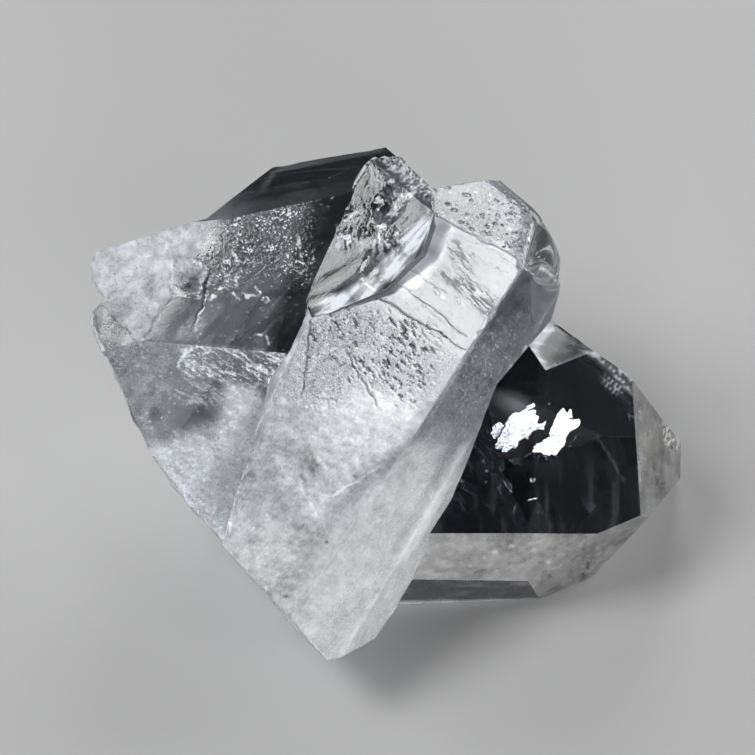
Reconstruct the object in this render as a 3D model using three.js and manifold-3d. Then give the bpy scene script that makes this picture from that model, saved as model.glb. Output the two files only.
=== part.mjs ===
// A cluster of clear quartz: three crystals grown together on one broken root, in one solid.
// Millimetres, +Z up. The cluster rests on the flat cut at z = 0, below its highest crystal.
import * as THREE from 'three';
import { ConvexGeometry } from 'three/addons/geometries/ConvexGeometry.js';
import { mergeVertices } from 'three/addons/utils/BufferGeometryUtils.js';
import Module from 'manifold-3d';

const wasm = await Module();
wasm.setup();

// Every crystal is a convex body about a centre. Each face is
// [heading of its outward normal, rise of that normal above level, distance from the centre],
// in degrees, degrees and millimetres. Heading 0 is +X and heading 90 is +Y.

// The tall middle crystal: two broad prism faces with a long ridge between them, and a rounded tip.
const MIDDLE = {
  centre: [6, -1, 34],
  faces: {
    leftPrism: [-129, 55, 12.8],
    rightPrism: [-59, 23, 13.4],
    rightLower: [-40, 0, 12.8],
    side: [-24, -16, 12.3],
    lowerSide: [-25, -22, 14.3],
    tip: [71, 83, 26.4],
    tipRight: [-5, 42, 28.4],
    tipBack: [105, 23, 27.7],
    tipRounding: [39, 21, 31.6],
    tipSide: [21, 9, 27],
    tipLower: [-6, -10, 16.6],
    brokenEnd: [-144, -24, 36.4],
    brokenToe: [-85, -55, 34.7],
    leftShoulder: [180, 39, 20],
    hiddenLeft: [165, 5, 22.2],
    back: [65, -53, 18.2],
    backTop: [96, -17, 21.6],
    rest: [0, -90, 34],
  },
};

// A long hollow down the middle crystal's right side, where growth stopped against its neighbour.
const SIDE_HOLLOW = {
  centre: [20, 0, 36],
  faces: {
    upperWall: [146, 23, 1.7],
    lowerWall: [162, 12, 2],
    outside: [-26, -17, 40],
    above: [64, 60, 40],
    below: [-116, -60, 40],
    front: [-116, 30, 40],
    behind: [64, -30, 40],
  },
};

// The upper left crystal, lying nearly level, broken off at its right end and along its root.
const LEFT = {
  centre: [-20, 12, 35],
  faces: {
    front: [-100, 55, 10.7],
    upper: [129, 70, 18.9],
    leftFront: [-120, 59, 12.5],
    lowerFront: [-99, 38, 11.4],
    crest: [99, 29, 24],
    step: [139, 15, 13.6],
    rightEnd: [35, 23, 34.3],
    brokenHigh: [-160, -13, 20.9],
    brokenMiddle: [-149, -21, 23.1],
    brokenLow: [-144, -24, 24.7],
    joinedSide: [-4, -4, 22.8],
    underside: [-81, -51, 39.1],
    back: [82, -70, 14.3],
    backTop: [96, -1, 19.1],
  },
};

// The frosted end that sticks out to the left.
const LEFT_END = {
  centre: [-35, 17, 41],
  faces: {
    front: [-120, 59, 5.7],
    rightFront: [-100, 55, 7.1],
    lowerFront: [-99, 38, 9.7],
    upper: [110, 36, 6.1],
    upperRight: [129, 70, 8.7],
    corner: [160, 17, 8.8],
    end: [-176, 0, 8.5],
    brokenEdge: [-163, -12, 10],
    underside: [-77, -66, 7.1],
    back: [97, -32, 7.1],
    joinedSide: [0, 0, 14.2],
  },
};

// The stub that stands over the middle crystal where the left crystal's tip broke off.
const STUB = {
  centre: [-1, 16, 51],
  faces: {
    breakUpper: [-158, 50, 4.3],
    breakTop: [160, 77, 8.7],
    breakLower: [-132, 46, 6.2],
    wallLower: [-71, -27, 9.5],
    wallMiddle: [-47, -18, 8.9],
    wallRight: [-20, -3, 9.9],
    right: [4, 5, 10],
    topRight: [34, 16, 10.6],
    topLeft: [160, 25, 6.2],
    top: [96, 29, 11.4],
    left: [173, 14, 7.1],
    leftLower: [-163, -13, 12.6],
    low: [-76, -36, 10],
    joinedSide: [61, -52, 7.2],
  },
};

// The clearest crystal, on the right behind the middle one, with its tip pointing right and down.
const RIGHT = {
  centre: [22, 4, 15],
  faces: {
    front: [-63, 38, 18.9],
    frontLeft: [-74, 41, 19.5],
    frontTop: [-63, 44, 20.5],
    below: [-76, 3, 20.7],
    belowLeft: [-82, 3, 21],
    lowerCorner: [-63, -14, 20.1],
    foot: [-87, -21, 21.7],
    tip: [-22, 22, 22],
    top: [48, 23, 16.8],
    tipTop: [51, 29, 17.7],
    tipEnd: [-2, 2, 25.4],
    tipLower: [-36, -22, 21.7],
    back: [111, -33, 20.1],
    backTop: [84, 3, 18.5],
    joinedSide: [180, 0, 21.6],
    joinedTop: [153, 21, 11.7],
    rest: [0, -90, 15],
  },
};

// The shared root under the crystals, cut flat below.
const ROOT = {
  centre: [0, 4, 12],
  faces: {
    left: [-170, -28, 24.9],
    brokenSide: [-144, -24, 25.6],
    backLeft: [138, -21, 21],
    front: [-96, -19, 20.5],
    back: [99, -12, 21.8],
    right: [-35, 0, 12.4],
    backRight: [45, -8, 23],
    top: [-135, 65, 15.9],
    rest: [0, -90, 12],
  },
};

// Shell-shaped breaks: balls that bite shallow hollows into the surface, as [centre, radius].
const STUB_BREAKS = [
  [[-3.4, 3.3, 61.5], 10],
  [[-2.5, 14.2, 64.4], 8],
  [[1.9, 20.3, 65.8], 6],
];
const OUTER_BREAKS = [
  [[27.8, 4.4, 58.3], 5],
  [[50.6, 5.4, 19.6], 4.4],
  [[-30.3, 8, 54.1], 9],
];
const BALL_DETAIL = 12;

// A notch across the frosted end, square in section and running down and back.
const NOTCH_SIDE = 4.2;
const NOTCH_LENGTH = 40;
const NOTCH_CENTRE = [-44.1, 14, 40];
const NOTCH_DIP = 50;

const DEGREE = Math.PI / 180;
const SAME_POINT = 1e-4;

function direction(heading, rise) {
  const level = Math.cos(rise * DEGREE);
  return new THREE.Vector3(
    level * Math.cos(heading * DEGREE),
    level * Math.sin(heading * DEGREE),
    Math.sin(rise * DEGREE),
  );
}

// The corners of a convex body: every point where three faces meet that lies behind all the others.
function corners(faces) {
  const planes = Object.values(faces).map(([heading, rise, distance]) => ({
    normal: direction(heading, rise),
    distance,
  }));
  const points = [];
  for (let i = 0; i < planes.length; i += 1) {
    for (let j = i + 1; j < planes.length; j += 1) {
      for (let k = j + 1; k < planes.length; k += 1) {
        const point = meetingPoint(planes[i], planes[j], planes[k]);
        const inside = point && planes.every((p) => p.normal.dot(point) < p.distance + SAME_POINT);
        if (inside && !points.some((p) => p.distanceTo(point) < SAME_POINT)) {
          points.push(point);
        }
      }
    }
  }
  return points;
}

function meetingPoint(a, b, c) {
  const bc = b.normal.clone().cross(c.normal);
  const volume = a.normal.dot(bc);
  if (Math.abs(volume) < 1e-6) {
    return null;
  }
  const ca = c.normal.clone().cross(a.normal);
  const ab = a.normal.clone().cross(b.normal);
  return bc
    .multiplyScalar(a.distance)
    .addScaledVector(ca, b.distance)
    .addScaledVector(ab, c.distance)
    .divideScalar(volume);
}

function solid(geometry) {
  const bare = geometry.clone();
  bare.deleteAttribute('normal');
  bare.deleteAttribute('uv');
  const merged = mergeVertices(bare, SAME_POINT);
  const index = merged.index ? merged.index.array : merged.attributes.position.array.map((_, i) => i);
  return new wasm.Manifold(
    new wasm.Mesh({
      numProp: 3,
      vertProperties: new Float32Array(merged.attributes.position.array),
      triVerts: new Uint32Array(index),
    }),
  );
}

function crystal({ centre, faces }) {
  const geometry = new ConvexGeometry(corners(faces));
  geometry.translate(...centre);
  return solid(geometry);
}

function ball([centre, radius]) {
  const geometry = new THREE.IcosahedronGeometry(radius, BALL_DETAIL);
  geometry.translate(...centre);
  return solid(geometry);
}

function notch() {
  const geometry = new THREE.BoxGeometry(NOTCH_SIDE, NOTCH_LENGTH, NOTCH_SIDE);
  geometry.rotateY(45 * DEGREE);
  geometry.rotateX(-NOTCH_DIP * DEGREE);
  geometry.translate(...NOTCH_CENTRE);
  return solid(geometry);
}

function toGeometry(body) {
  const { vertProperties, triVerts } = body.getMesh();
  const geometry = new THREE.BufferGeometry();
  geometry.setAttribute('position', new THREE.BufferAttribute(vertProperties, 3));
  geometry.setIndex(new THREE.BufferAttribute(triVerts, 1));
  geometry.computeVertexNormals();
  return geometry;
}

function broken(whole, shells) {
  return shells.reduce((rest, shell) => rest.subtract(ball(shell)), whole);
}

const middle = crystal(MIDDLE).subtract(crystal(SIDE_HOLLOW));
const stub = broken(crystal(STUB), STUB_BREAKS);
const joined = [LEFT, LEFT_END, RIGHT, ROOT].map(crystal).reduce((a, b) => a.add(b), middle.add(stub));
const body = broken(joined, OUTER_BREAKS).subtract(notch());

const quartz = new THREE.MeshStandardMaterial({
  color: 0xdfe4e8,
  roughness: 0.12,
  metalness: 0,
  transparent: true,
  opacity: 0.4,
});
const mesh = new THREE.Mesh(toGeometry(body), quartz);
mesh.name = 'quartz_cluster';

const cluster = new THREE.Group();
cluster.add(mesh);

export default cluster;
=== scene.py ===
"""A cluster of clear quartz on a pale floor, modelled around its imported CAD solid.

Lengths are in millimetres until a mesh, light or camera is made; those are in metres, as the frame is.
Places taken from the reference picture are pixels of its 755 x 755 frame, and `seen` gives any point's pixel.
"""

import math

import bmesh
import bpy
import numpy as np
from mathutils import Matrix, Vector
from mathutils.geometry import delaunay_2d_cdt
from mathutils.kdtree import KDTree


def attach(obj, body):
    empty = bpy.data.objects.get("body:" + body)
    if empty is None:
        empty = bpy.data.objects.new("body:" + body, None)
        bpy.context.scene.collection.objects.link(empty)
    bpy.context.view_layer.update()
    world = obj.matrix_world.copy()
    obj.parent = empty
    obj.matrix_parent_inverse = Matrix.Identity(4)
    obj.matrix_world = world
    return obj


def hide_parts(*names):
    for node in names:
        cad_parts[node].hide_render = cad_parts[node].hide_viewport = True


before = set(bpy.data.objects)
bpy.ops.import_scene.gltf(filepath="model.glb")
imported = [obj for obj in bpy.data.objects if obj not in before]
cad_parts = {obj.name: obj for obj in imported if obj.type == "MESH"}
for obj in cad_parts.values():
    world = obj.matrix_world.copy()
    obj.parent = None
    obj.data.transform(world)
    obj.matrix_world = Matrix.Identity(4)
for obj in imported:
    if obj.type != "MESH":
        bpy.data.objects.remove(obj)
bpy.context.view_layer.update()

MM = 0.001
PICTURE = 755

# ------------------------------------------------------------------ camera
LENS = 150.0
SENSOR = 36.0
CLIP_START = 0.01
ELEVATION = 50.0
DISTANCE = 471.875
TARGET = np.array([0.0, 0.0, 38.0])
RIGHT = np.array([1.0, 0.0, 0.0])
AWAY = np.array([0.0, math.cos(math.radians(ELEVATION)), -math.sin(math.radians(ELEVATION))])
UP = np.cross(RIGHT, AWAY)
EYE = TARGET - DISTANCE * AWAY


def make_camera():
    """The camera that sees what the picture shows."""
    data = bpy.data.cameras.new("camera")
    data.lens = LENS
    data.sensor_width = SENSOR
    data.clip_start = CLIP_START
    camera = bpy.data.objects.new("camera", data)
    camera.location = EYE * MM
    camera.rotation_mode = "QUATERNION"
    camera.rotation_quaternion = Vector(AWAY).to_track_quat("-Z", "Y")
    bpy.context.scene.collection.objects.link(camera)
    bpy.context.scene.camera = camera


def seen(points):
    """The picture's x and y, in pixels, of points in millimetres."""
    away = (points - EYE) @ AWAY
    scale = LENS / SENSOR * PICTURE / away
    x = PICTURE / 2 + (points - EYE) @ RIGHT * scale
    y = PICTURE / 2 - (points - EYE) @ UP * scale
    return x, y


# ------------------------------------------------------------------ noise
def smooth(value, low, high):
    """0 below low, 1 above high, and an even curve between them."""
    t = np.clip((value - low) / (high - low), 0, 1)
    return t * t * (3 - 2 * t)


def unit(vector):
    """The vector, made one long."""
    return np.array(vector, float) / np.linalg.norm(vector)


def spin(x, y, degrees):
    """x and y along and across a direction that lies that far from x towards y."""
    angle = math.radians(degrees)
    return x * math.cos(angle) + y * math.sin(angle), y * math.cos(angle) - x * math.sin(angle)


def scatter(*numbers, seed=0):
    """An even random number from 0 to 1 for each set of whole numbers."""
    mixed = np.full(np.shape(numbers[0]), seed * 974711 + 1013904223, dtype=np.uint32)
    for number, factor in zip(numbers, (73856093, 19349663, 83492791)):
        mixed = mixed ^ (np.asarray(number).astype(np.int64).astype(np.uint32) * np.uint32(factor))
        mixed = mixed * np.uint32(2654435761)
        mixed = mixed ^ (mixed >> np.uint32(15))
    mixed = mixed * np.uint32(2246822519)
    mixed = mixed ^ (mixed >> np.uint32(13))
    return mixed.astype(np.float64) / 2**32


def noise(points, size, seed):
    """Smooth noise from -1 to 1, with lumps about size across, at points with 2 or 3 columns."""
    scaled = np.asarray(points, float) / size
    cell = np.floor(scaled).astype(int)
    part = scaled - cell
    ease = part**3 * (part * (part * 6 - 15) + 10)
    columns = points.shape[1]
    total = np.zeros(len(points))
    for corner in np.ndindex(*(2,) * columns):
        weight = np.ones(len(points))
        for column, bit in enumerate(corner):
            weight *= ease[:, column] if bit else 1 - ease[:, column]
        value = scatter(*[cell[:, c] + corner[c] for c in range(columns)], seed=seed)
        total += weight * (value * 2 - 1)
    return total


def layered(points, size, seed, layers=4, fall=0.5):
    """Noise of several sizes, each half the last."""
    total = np.zeros(len(points))
    strength = 1.0
    for layer in range(layers):
        total += strength * noise(points, size / 2**layer, seed + layer)
        strength *= fall
    return total


def squares(u, v, pitch):
    """The column and row of each of the nine grid squares round every point."""
    column, row = np.floor(u / pitch).astype(int), np.floor(v / pitch).astype(int)
    for across, down in np.ndindex(3, 3):
        yield column + across - 1, row + down - 1


def marks(u, v, pitch, seed, chance, shape):
    """The highest of many small marks, about one for each square of pitch that chance picks.

    shape(du, dv, random) gives one mark's height from the offsets to its middle, in pitches.
    """
    best = np.zeros(len(u))
    for square in squares(u, v, pitch):
        shift_u, shift_v, luck, random = [scatter(*square, seed=seed + k) for k in range(4)]
        height = shape(u / pitch - (square[0] + shift_u), v / pitch - (square[1] + shift_v), random)
        best = np.maximum(best, np.where(luck < chance, height, 0))
    return best


def shards(u, v, pitch, seed):
    """The random tone, and the tilted height, of angular patches about one pitch across."""
    gap = np.full(len(u), np.inf)
    tone = np.zeros(len(u))
    rise = np.zeros(len(u))
    for square in squares(u, v, pitch):
        shift_u, shift_v, luck, tilt_u, tilt_v = [scatter(*square, seed=seed + k) for k in range(5)]
        du = u / pitch - square[0] - shift_u
        dv = v / pitch - square[1] - shift_v
        closer = np.abs(du) + np.abs(dv) < gap
        gap = np.where(closer, np.abs(du) + np.abs(dv), gap)
        tone = np.where(closer, 2 * luck - 1, tone)
        rise = np.where(closer, 2 * (du * (tilt_u - 0.5) + dv * (tilt_v - 0.5)), rise)
    return tone, rise


# ------------------------------------------------------------------ zones in the picture
def blob(x, y, middle, radii, turn=0.0, soft=0.35):
    """1 inside an ellipse of the picture, fading to 0 at its edge."""
    along, across = spin(x - middle[0], y - middle[1], turn)
    return 1 - smooth(np.hypot(along / radii[0], across / radii[1]), 1 - soft, 1 + soft)


def beyond(x, y, start, end, soft=4.0):
    """1 to the right of the line from start to end as the picture is looked at, 0 to its left."""
    run = np.array(end, float) - start
    length = np.hypot(*run)
    offset = ((x - start[0]) * -run[1] + (y - start[1]) * run[0]) / length
    return smooth(offset, -soft, soft)


def below(x, y, start, end, lean=0.0, pivot=0.0):
    """0 above a band across the picture and 1 below it, from y = start to end where x is the pivot."""
    return smooth(y + lean * (x - pivot), start, end)


def right_of(x, y, start, end, lean=0.0, pivot=0.0):
    """0 left of an upright band of the picture and 1 right of it, from x = start to end at y = pivot."""
    return smooth(x + lean * (y - pivot), start, end)


def direction(heading, rise):
    """The unit vector with that heading from +X towards +Y, and that rise above level, in degrees."""
    heading, rise = math.radians(heading), math.radians(rise)
    level = math.cos(rise)
    return np.array([level * math.cos(heading), level * math.sin(heading), math.sin(rise)])


# ------------------------------------------------------------------ looks of the facets
class Look:
    """What a facet is like at each of its points.

    height    how far the point moves outwards, in millimetres
    milk      0 clear to 1 white all through
    rough     roughness of the gloss
    shade     how light the milky part is
    speck     how many specks, smaller than the points' spacing, break up the milk
    fibre     how strongly hair-fine fibres show in it
    warm      0 for the bluish milk, 1 for the yellowish one
    """

    NAMES = ("height", "milk", "rough", "shade", "speck", "fibre", "warm")

    def __init__(self, points, **start):
        for name in self.NAMES:
            setattr(self, name, np.full(len(points), start.get(name, 0.0)))

    def add(self, where, **changes):
        """Adds each change, as strongly as where says."""
        for name, change in changes.items():
            setattr(self, name, getattr(self, name) + where * change)

    def blend(self, other, share):
        """Turns into the other look where share is 1."""
        for name in self.NAMES:
            setattr(self, name, getattr(self, name) * (1 - share) + getattr(other, name) * share)
        return self


# Millimetres to a pixel, on the plane through the camera's target.
PIXEL = 0.15

# The tables above the looks say where marks lie in the picture, in pixels. A zone is an ellipse for
# blob(): its middle, radii, and where given its turn in degrees and its softness. An edge is two ends
# and a width for line(), and a longer one is its corners and a width for path(). Both may add a seed
# and how far the mark wanders. A fan has its middle, how close its rays stand, and its seed. A
# limit is a band's start and end for below() or right_of(), and where it leans its lean and pivot.

# The two ends of the middle crystal's long ridge, in its lower, milky half.
RIDGE = ((450, 406), (290, 626))
RIDGE_WIDTH = 30


def turned(x, y, angle):
    """Millimetres along and across a direction in the picture, angle degrees down from rightwards."""
    along, across = spin(x, y, angle)
    return along * PIXEL, across * PIXEL


def pit(du, dv, random):
    """A lens-shaped pit with a steep rim."""
    size = 0.22 + 0.25 * random
    return 1 - smooth(np.hypot(du, dv * 1.8) / size, 0.55, 1.0)


def wedge(du, dv, random):
    """A pit that starts deep and steep, and narrows and rises to a point."""
    length = 0.35 + 0.55 * random
    run = du / length + 0.5
    width = 0.32 * np.clip(1 - run, 0, 1) * (0.5 + random)
    within = smooth(width - np.abs(dv), -0.03, 0.08)
    return within * smooth(run, -0.02, 0.1) * (1 - np.clip(run, 0, 1)) ** 0.5


def hillock(du, dv, random):
    """A low round growth hill."""
    size = 0.35 + 0.3 * random
    return np.clip(1 - (np.hypot(du, dv) / size) ** 2, 0, 1)


def strokes(x, y, angle, length, width, seed, layers=2):
    """Noise drawn out along a direction in the picture."""
    along, across = turned(x, y, angle)
    return layered(np.stack([along / length, across / width], 1), 1.0, seed, layers)


def veins(x, y, angle, length, width, seed, thin=0.25, bend=0.4):
    """Thin branching lines, drawn out along a direction in the picture."""
    along, across = turned(x, y, angle)
    place = np.stack([along, across], 1)
    across = across + bend * width * noise(place, length * 0.5, seed + 7)
    field = layered(np.stack([along / length, across / width], 1), 1.0, seed, 3)
    return 1 - smooth(np.abs(field), 0, thin)


def fan(x, y, middle, spread, seed):
    """Noise in rays that spread from one place of the picture."""
    angle = np.arctan2(y - middle[1], x - middle[0])
    reach = np.hypot(x - middle[0], y - middle[1]) * PIXEL
    return layered(np.stack([angle * spread, reach * 0.2], 1), 1.0, seed, 3)


def line(x, y, start, end, width, seed=0, wander=0.0):
    """1 on a line of the picture, fading within width pixels; wander bends it."""
    run = np.array(end, float) - start
    length = np.hypot(*run)
    along = ((x - start[0]) * run[0] + (y - start[1]) * run[1]) / length
    across = ((y - start[1]) * run[0] - (x - start[0]) * run[1]) / length
    if wander:
        across = across + wander * noise(np.stack([along, along * 0], 1), length / 4, seed)
    inside_ends = smooth(along, -width, width) * (1 - smooth(along, length - width, length + width))
    return (1 - smooth(np.abs(across), 0.3 * width, width)) * inside_ends


def path(x, y, corners, width, seed=0, wander=0.0):
    """1 on a run of joined lines of the picture."""
    parts = [line(x, y, a, b, width, seed, wander) for a, b in zip(corners, corners[1:])]
    return np.max(parts, axis=0)


def flecks(x, y, pitch, seed, chance):
    """Sparse round specks, with a pitch in millimetres."""
    return marks(x * PIXEL, y * PIXEL, pitch, seed, chance, pit)


def milky_relief(points):
    """How high the soft swells of the middle crystal's milky half stand, in millimetres."""
    return 0.03 * layered(points, 2.6, 55, 3) + 0.006 * layered(points, 0.6, 48, 2)


# The milky half's soft planes, lines and rays. The last number of a soft shade is how dark it is.
MILK_LIMIT = (380, 410, 0.12, 330)
WARM_LIMIT = (470, 560)
GHOST_LIMIT = (318, 326, -0.2, 400)
LOW_HAZE = ((258, 550), (56, 30), 52, 0.6)
SOFT_SHADES = (
    ((309, 454), (17, 6), 72, 0.34),
    ((300, 540), (34, 9), 66, 0.14),
    ((362, 488), (34, 7), -40, 0.22),
    ((258, 470), (44, 26), 60, 0.12),
    ((384, 488), (30, 8), 108, 0.16),
    ((357, 590), (26, 6), 88, 0.16),
    ((299, 598), (14, 9), 0, 0.18),
    ((372, 604), (7, 12), 10, 0.14),
    ((330, 555), (18, 12), 20, 0.08),
)
GHOST_PLANE = ((376, 422), (50, 34), -18, 0.16)
FINE_LINE = ((331, 497), (380, 467), 1.2, 58, 1.0)
WISP = (((296, 470), (308, 500), (322, 520)), 2.0, 60, 2.0)
UPPER_RAYS = ((356, 398), 12, 15)
UPPER_RAY_ZONE = ((318, 398), (38, 34), -30, 0.6)
LOWER_RAYS = ((300, 440), 10, 14)
LOWER_RAY_ZONE = ((330, 452), (44, 26), 10, 0.7)
TUFT_ZONE = ((335, 405), (90, 56), -30, 0.6)
CRUMB_ZONE = ((300, 600), (22, 10), 10, 0.6)


def milky_half(look, points, x, y):
    """The soft planes, streaks and rays inside the lower half of the middle crystal's left face."""
    wander = 16 * noise(points, 5.0, 20) + 8 * noise(points, 1.2, 18)
    low = below(x, y + wander, *MILK_LIMIT)
    ridge = line(x, y, *RIDGE, RIDGE_WIDTH)
    look.add(low, milk=0.23 + 0.08 * layered(points, 7.0, 24), rough=0.14 + 0.4 * ridge)
    look.add(low, fibre=0.26, speck=0.05, warm=0.3 * below(x, y, *WARM_LIMIT))
    look.add(blob(x, y, *LOW_HAZE), milk=0.09)
    for place, size, turn, depth in SOFT_SHADES:
        look.add(blob(x, y, place, size, turn, 0.8), shade=-depth, milk=-0.3 * depth)
    edge = blob(x, y, *GHOST_PLANE) * right_of(x, y, *GHOST_LIMIT)
    look.add(low * edge, milk=0.12, shade=0.06)
    look.add(line(x, y, *FINE_LINE), milk=0.35, shade=0.1)
    look.add(path(x, y, *WISP), milk=0.2)
    rays = fan(x, y, *UPPER_RAYS) * blob(x, y, *UPPER_RAY_ZONE)
    rays = rays + fan(x, y, *LOWER_RAYS) * blob(x, y, *LOWER_RAY_ZONE)
    look.add(low, milk=0.1 * rays + 0.12 * layered(points, 1.6, 13, 4), height=0.004 * rays)
    tufts = veins(x, y, -42, 4.0, 1.3, 21, 0.1, 1.0) * blob(x, y, *TUFT_ZONE)
    look.add(low, milk=0.25 * tufts + 0.12 * veins(x, y, 78, 3.0, 1.2, 22, 0.08, 1.0))
    look.add(low, milk=0.2 * flecks(x, y, 0.9, 17, 0.12) + 0.1 * strokes(x, y, 12, 1.2, 0.4, 19, 3))
    look.add(low, height=milky_relief(points))
    crumbs = blob(x, y, *CRUMB_ZONE) * smooth(layered(points, 0.7, 16), 0, 0.6)
    look.add(low * crumbs, milk=0.35)
    return low


# The left face's duller patches, its steps (which end with their width and depth) and its cracks.
CLEARER_PATCHES = (
    ((460, 252), (20, 9), 42),
    ((476, 292), (34, 10), 45),
    ((444, 276), (24, 5), 38),
    ((492, 314), (24, 6), 50),
)
FACE_STEPS = (
    ((397, 284), (434, 310), 1.0, 0.9),
    ((434, 310), (466, 338), 1.0, 1.0),
    ((376, 298), (440, 335), 2.0, 1.0),
    ((440, 335), (466, 352), 1.3, 0.9),
    ((480, 284), (502, 302), 0.9, 0.9),
    ((448, 232), (486, 247), 1.2, 0.6),
    ((486, 247), (522, 268), 1.1, 0.8),
    ((462, 252), (508, 274), 0.9, 0.6),
    ((408, 268), (446, 294), 0.9, 0.8),
    ((408, 292), (420, 290), 1.1, 0.9),
    ((416, 300), (452, 330), 0.8, 0.5),
    ((488, 262), (516, 284), 0.8, 0.4),
)
FACE_CRACKS = (
    ((346, 352), (360, 378), 1.4),
    ((360, 378), (378, 406), 1.4),
    ((310, 320), (307, 355), 1.3),
    ((307, 355), (302, 398), 1.1),
)


def face_lines(look, points, x, y, upper):
    """Duller, darker patches in the mirror-like upper half, and fine steps darkened with painted shade,
    scratches and cracks.
    """
    streaky = smooth(strokes(x, y, 46, 1.1, 0.24, 27, 3), -0.9, 0.9)
    for place, size, turn in CLEARER_PATCHES:
        patch = blob(x, y, place, size, turn, 0.9) * streaky
        look.add(patch, rough=0.4, shade=-0.2, milk=-0.05, height=0.005 * noise(points, 0.5, 26))
    # Painted shade: each step is darkened as deeply as it is cut.
    for start, end, width, depth in FACE_STEPS:
        mark = line(x, y, start, end, width, 28, 1.4)
        look.add(mark, height=-0.022 * depth, shade=-0.5 * depth)
    scratches = veins(x, y, 44, 3.6, 0.3, 25, 0.1, 0.4) * upper
    look.add(scratches, rough=0.2, shade=-0.2)
    for start, end, width in FACE_CRACKS:
        look.add(line(x, y, start, end, width, 29, 2.0), height=-0.06, shade=-0.85)


# Where the claw-like pits are, which way they point, and their rows: how long the pits are for
# their width, their pitch, seed and chance.
PIT_ZONE = ((372, 343), (60, 42), 20, 0.5)
DENSE_PITS = ((408, 362), (26, 42), 15, 0.5)
CLAW_TURN = 52
CLAWS = ((3.2, 0.85, 51, 0.3), (2.4, 0.45, 52, 0.3))
DENSE_CLAWS = (4.0, 0.6, 56, 0.5)


def claw_pits(look, points, x, y, upper):
    """Claw-like pits, which point down and to the right, darkened with painted shade, each with a painted
    highlight on its lip.
    """
    region = blob(x, y, *PIT_ZONE) * (1 - 0.85 * upper)
    dense = blob(x, y, *DENSE_PITS)
    along, across = turned(x, y, CLAW_TURN)
    along = along + 0.3 * noise(points, 0.9, 46)
    across = across + 0.16 * noise(points, 0.7, 47)
    pits = np.zeros(len(x))
    lips = np.zeros(len(x))
    rows = [(region, row) for row in CLAWS] + [(dense, DENSE_CLAWS)]
    for where, (stretch, pitch, seed, chance) in rows:
        pits = np.maximum(pits, where * marks(along / stretch, across, pitch, seed, chance, wedge))
        shifted = marks(along / stretch, across - 0.14, pitch, seed, chance, wedge)
        lips = np.maximum(lips, where * smooth(shifted, 0.1, 0.5))
    scratches = veins(x, y, 54, 2.4, 0.6, 45, 0.12, 0.8) * np.maximum(0.7 * region, dense)
    pits = np.maximum(pits, 0.5 * scratches)
    # Painted shade darkens each pit, and a painted highlight lightens its lip on one side.
    look.height -= 0.11 * pits
    look.shade -= 0.95 * smooth(pits, 0.1, 0.4)
    look.milk += 0.5 * lips * (1 - smooth(pits, 0.05, 0.3)) + 0.12 * region * layered(points, 1.1, 41, 3)


# Two gritty places, single claw holes (middle and turn) and dots, and the radii of those.
GRIT_RIGHT = ((334, 330), (34, 22), 0, 0.5)
GRIT_LEFT = ((320, 372), (26, 38), 0, 0.5)
HOLE = (5.0, 2.6)
HOLE_FLOOR = (3.4, 1.2)
HOLE_LIP = (5, 1.6)
DOT = (2.6, 1.4)
LIP_SHIFT = (4, 3)
CLAW_HOLES = (((445, 213), 75), ((489, 235), 50), ((437, 292), 45), ((472, 286), 40), ((458, 300), 55))
FACE_DOTS = ((498, 268), (423, 306), (440, 333), (327, 543), (286, 597), (428, 324), (445, 337))


def grit_and_holes(look, points, x, y):
    """Dark grit on the left, and the larger holes and dots that stand alone; the holes have painted shade and
    a painted highlight on the lip.
    """
    speckle = np.maximum(blob(x, y, *GRIT_RIGHT), 0.8 * blob(x, y, *GRIT_LEFT))
    grit = layered(points, 0.5, 53, 2)
    look.add(speckle, height=0.04 * grit, speck=0.7, shade=-0.8 * smooth(grit, 0.5, 0.9))
    look.add(speckle, milk=0.4 * smooth(-grit, 0.5, 0.9))
    for place, turn in CLAW_HOLES:
        # Painted shade rings each hole's lighter floor, and a painted highlight lies on its lip.
        look.add(blob(x, y, place, HOLE, turn), shade=-0.85)
        look.add(blob(x, y, place, HOLE_FLOOR, turn), shade=0.85)
        look.add(blob(x, y, np.add(place, LIP_SHIFT), HOLE_LIP, turn, 0.5), milk=0.3)
    for place in FACE_DOTS:
        look.add(blob(x, y, place, DOT, 20, 0.4), shade=-0.95)


# The foot of the mirror-like upper half, its milkier lower corner, and the strip of painted light beside the
# stub.
MIRROR_LIMIT = (318, 334, -0.52, 400)
UPPER_MILK = ((368, 412), (62, 36), -14, 0.5)
PAINTED_LIGHT_BESIDE_STUB = (((426, 196), (441, 228), (433, 252), (404, 286)), 17)


def middle_left(points, x, y):
    """The middle crystal's broad left face: mirror-like above, pitted in the middle, milky below."""
    look = Look(points, milk=0.24, rough=0.08, shade=0.9)
    low = milky_half(look, points, x, y)
    upper = 1 - below(x, y, *MIRROR_LIMIT)
    look.add(blob(x, y, *UPPER_MILK), milk=0.08)
    look.add((1 - upper) * (1 - low), milk=0.2, rough=0.12, fibre=0.3, speck=0.45)
    look.add(upper, milk=0.1, fibre=0.03, speck=0.02, rough=-0.02)
    # Painted light: beside the stub the face doesn't mirror the key light, so milk painted there stands in
    # for that reflection.
    look.add(path(x, y, *PAINTED_LIGHT_BESIDE_STUB), milk=0.75, shade=0.1)
    face_lines(look, points, x, y, upper)
    look.height += 0.016 * noise(points, 9.0, 43) + 0.002 * noise(points, 2.5, 44)
    claw_pits(look, points, x, y, upper)
    grit_and_holes(look, points, x, y)
    return look


# The right face's marks.
RIGHT_MILK_LIMIT = (400, 500, -0.25, 420)
ROUGH_RIDGE_LIMIT = (400, 440)
RIGHT_MIDDLE = ((455, 412), (28, 80), 35, 0.6)
PALE_STRIP = ((466, 446), (404, 562), 6, 70, 2.5)
STRIP_SHADOW = ((460, 436), (392, 556), 6)
STREAK_ZONE = ((486, 360), (24, 52), 35, 0.6)
TOP_RIM = ((522, 262), (430, 418), 2.5)


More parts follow.
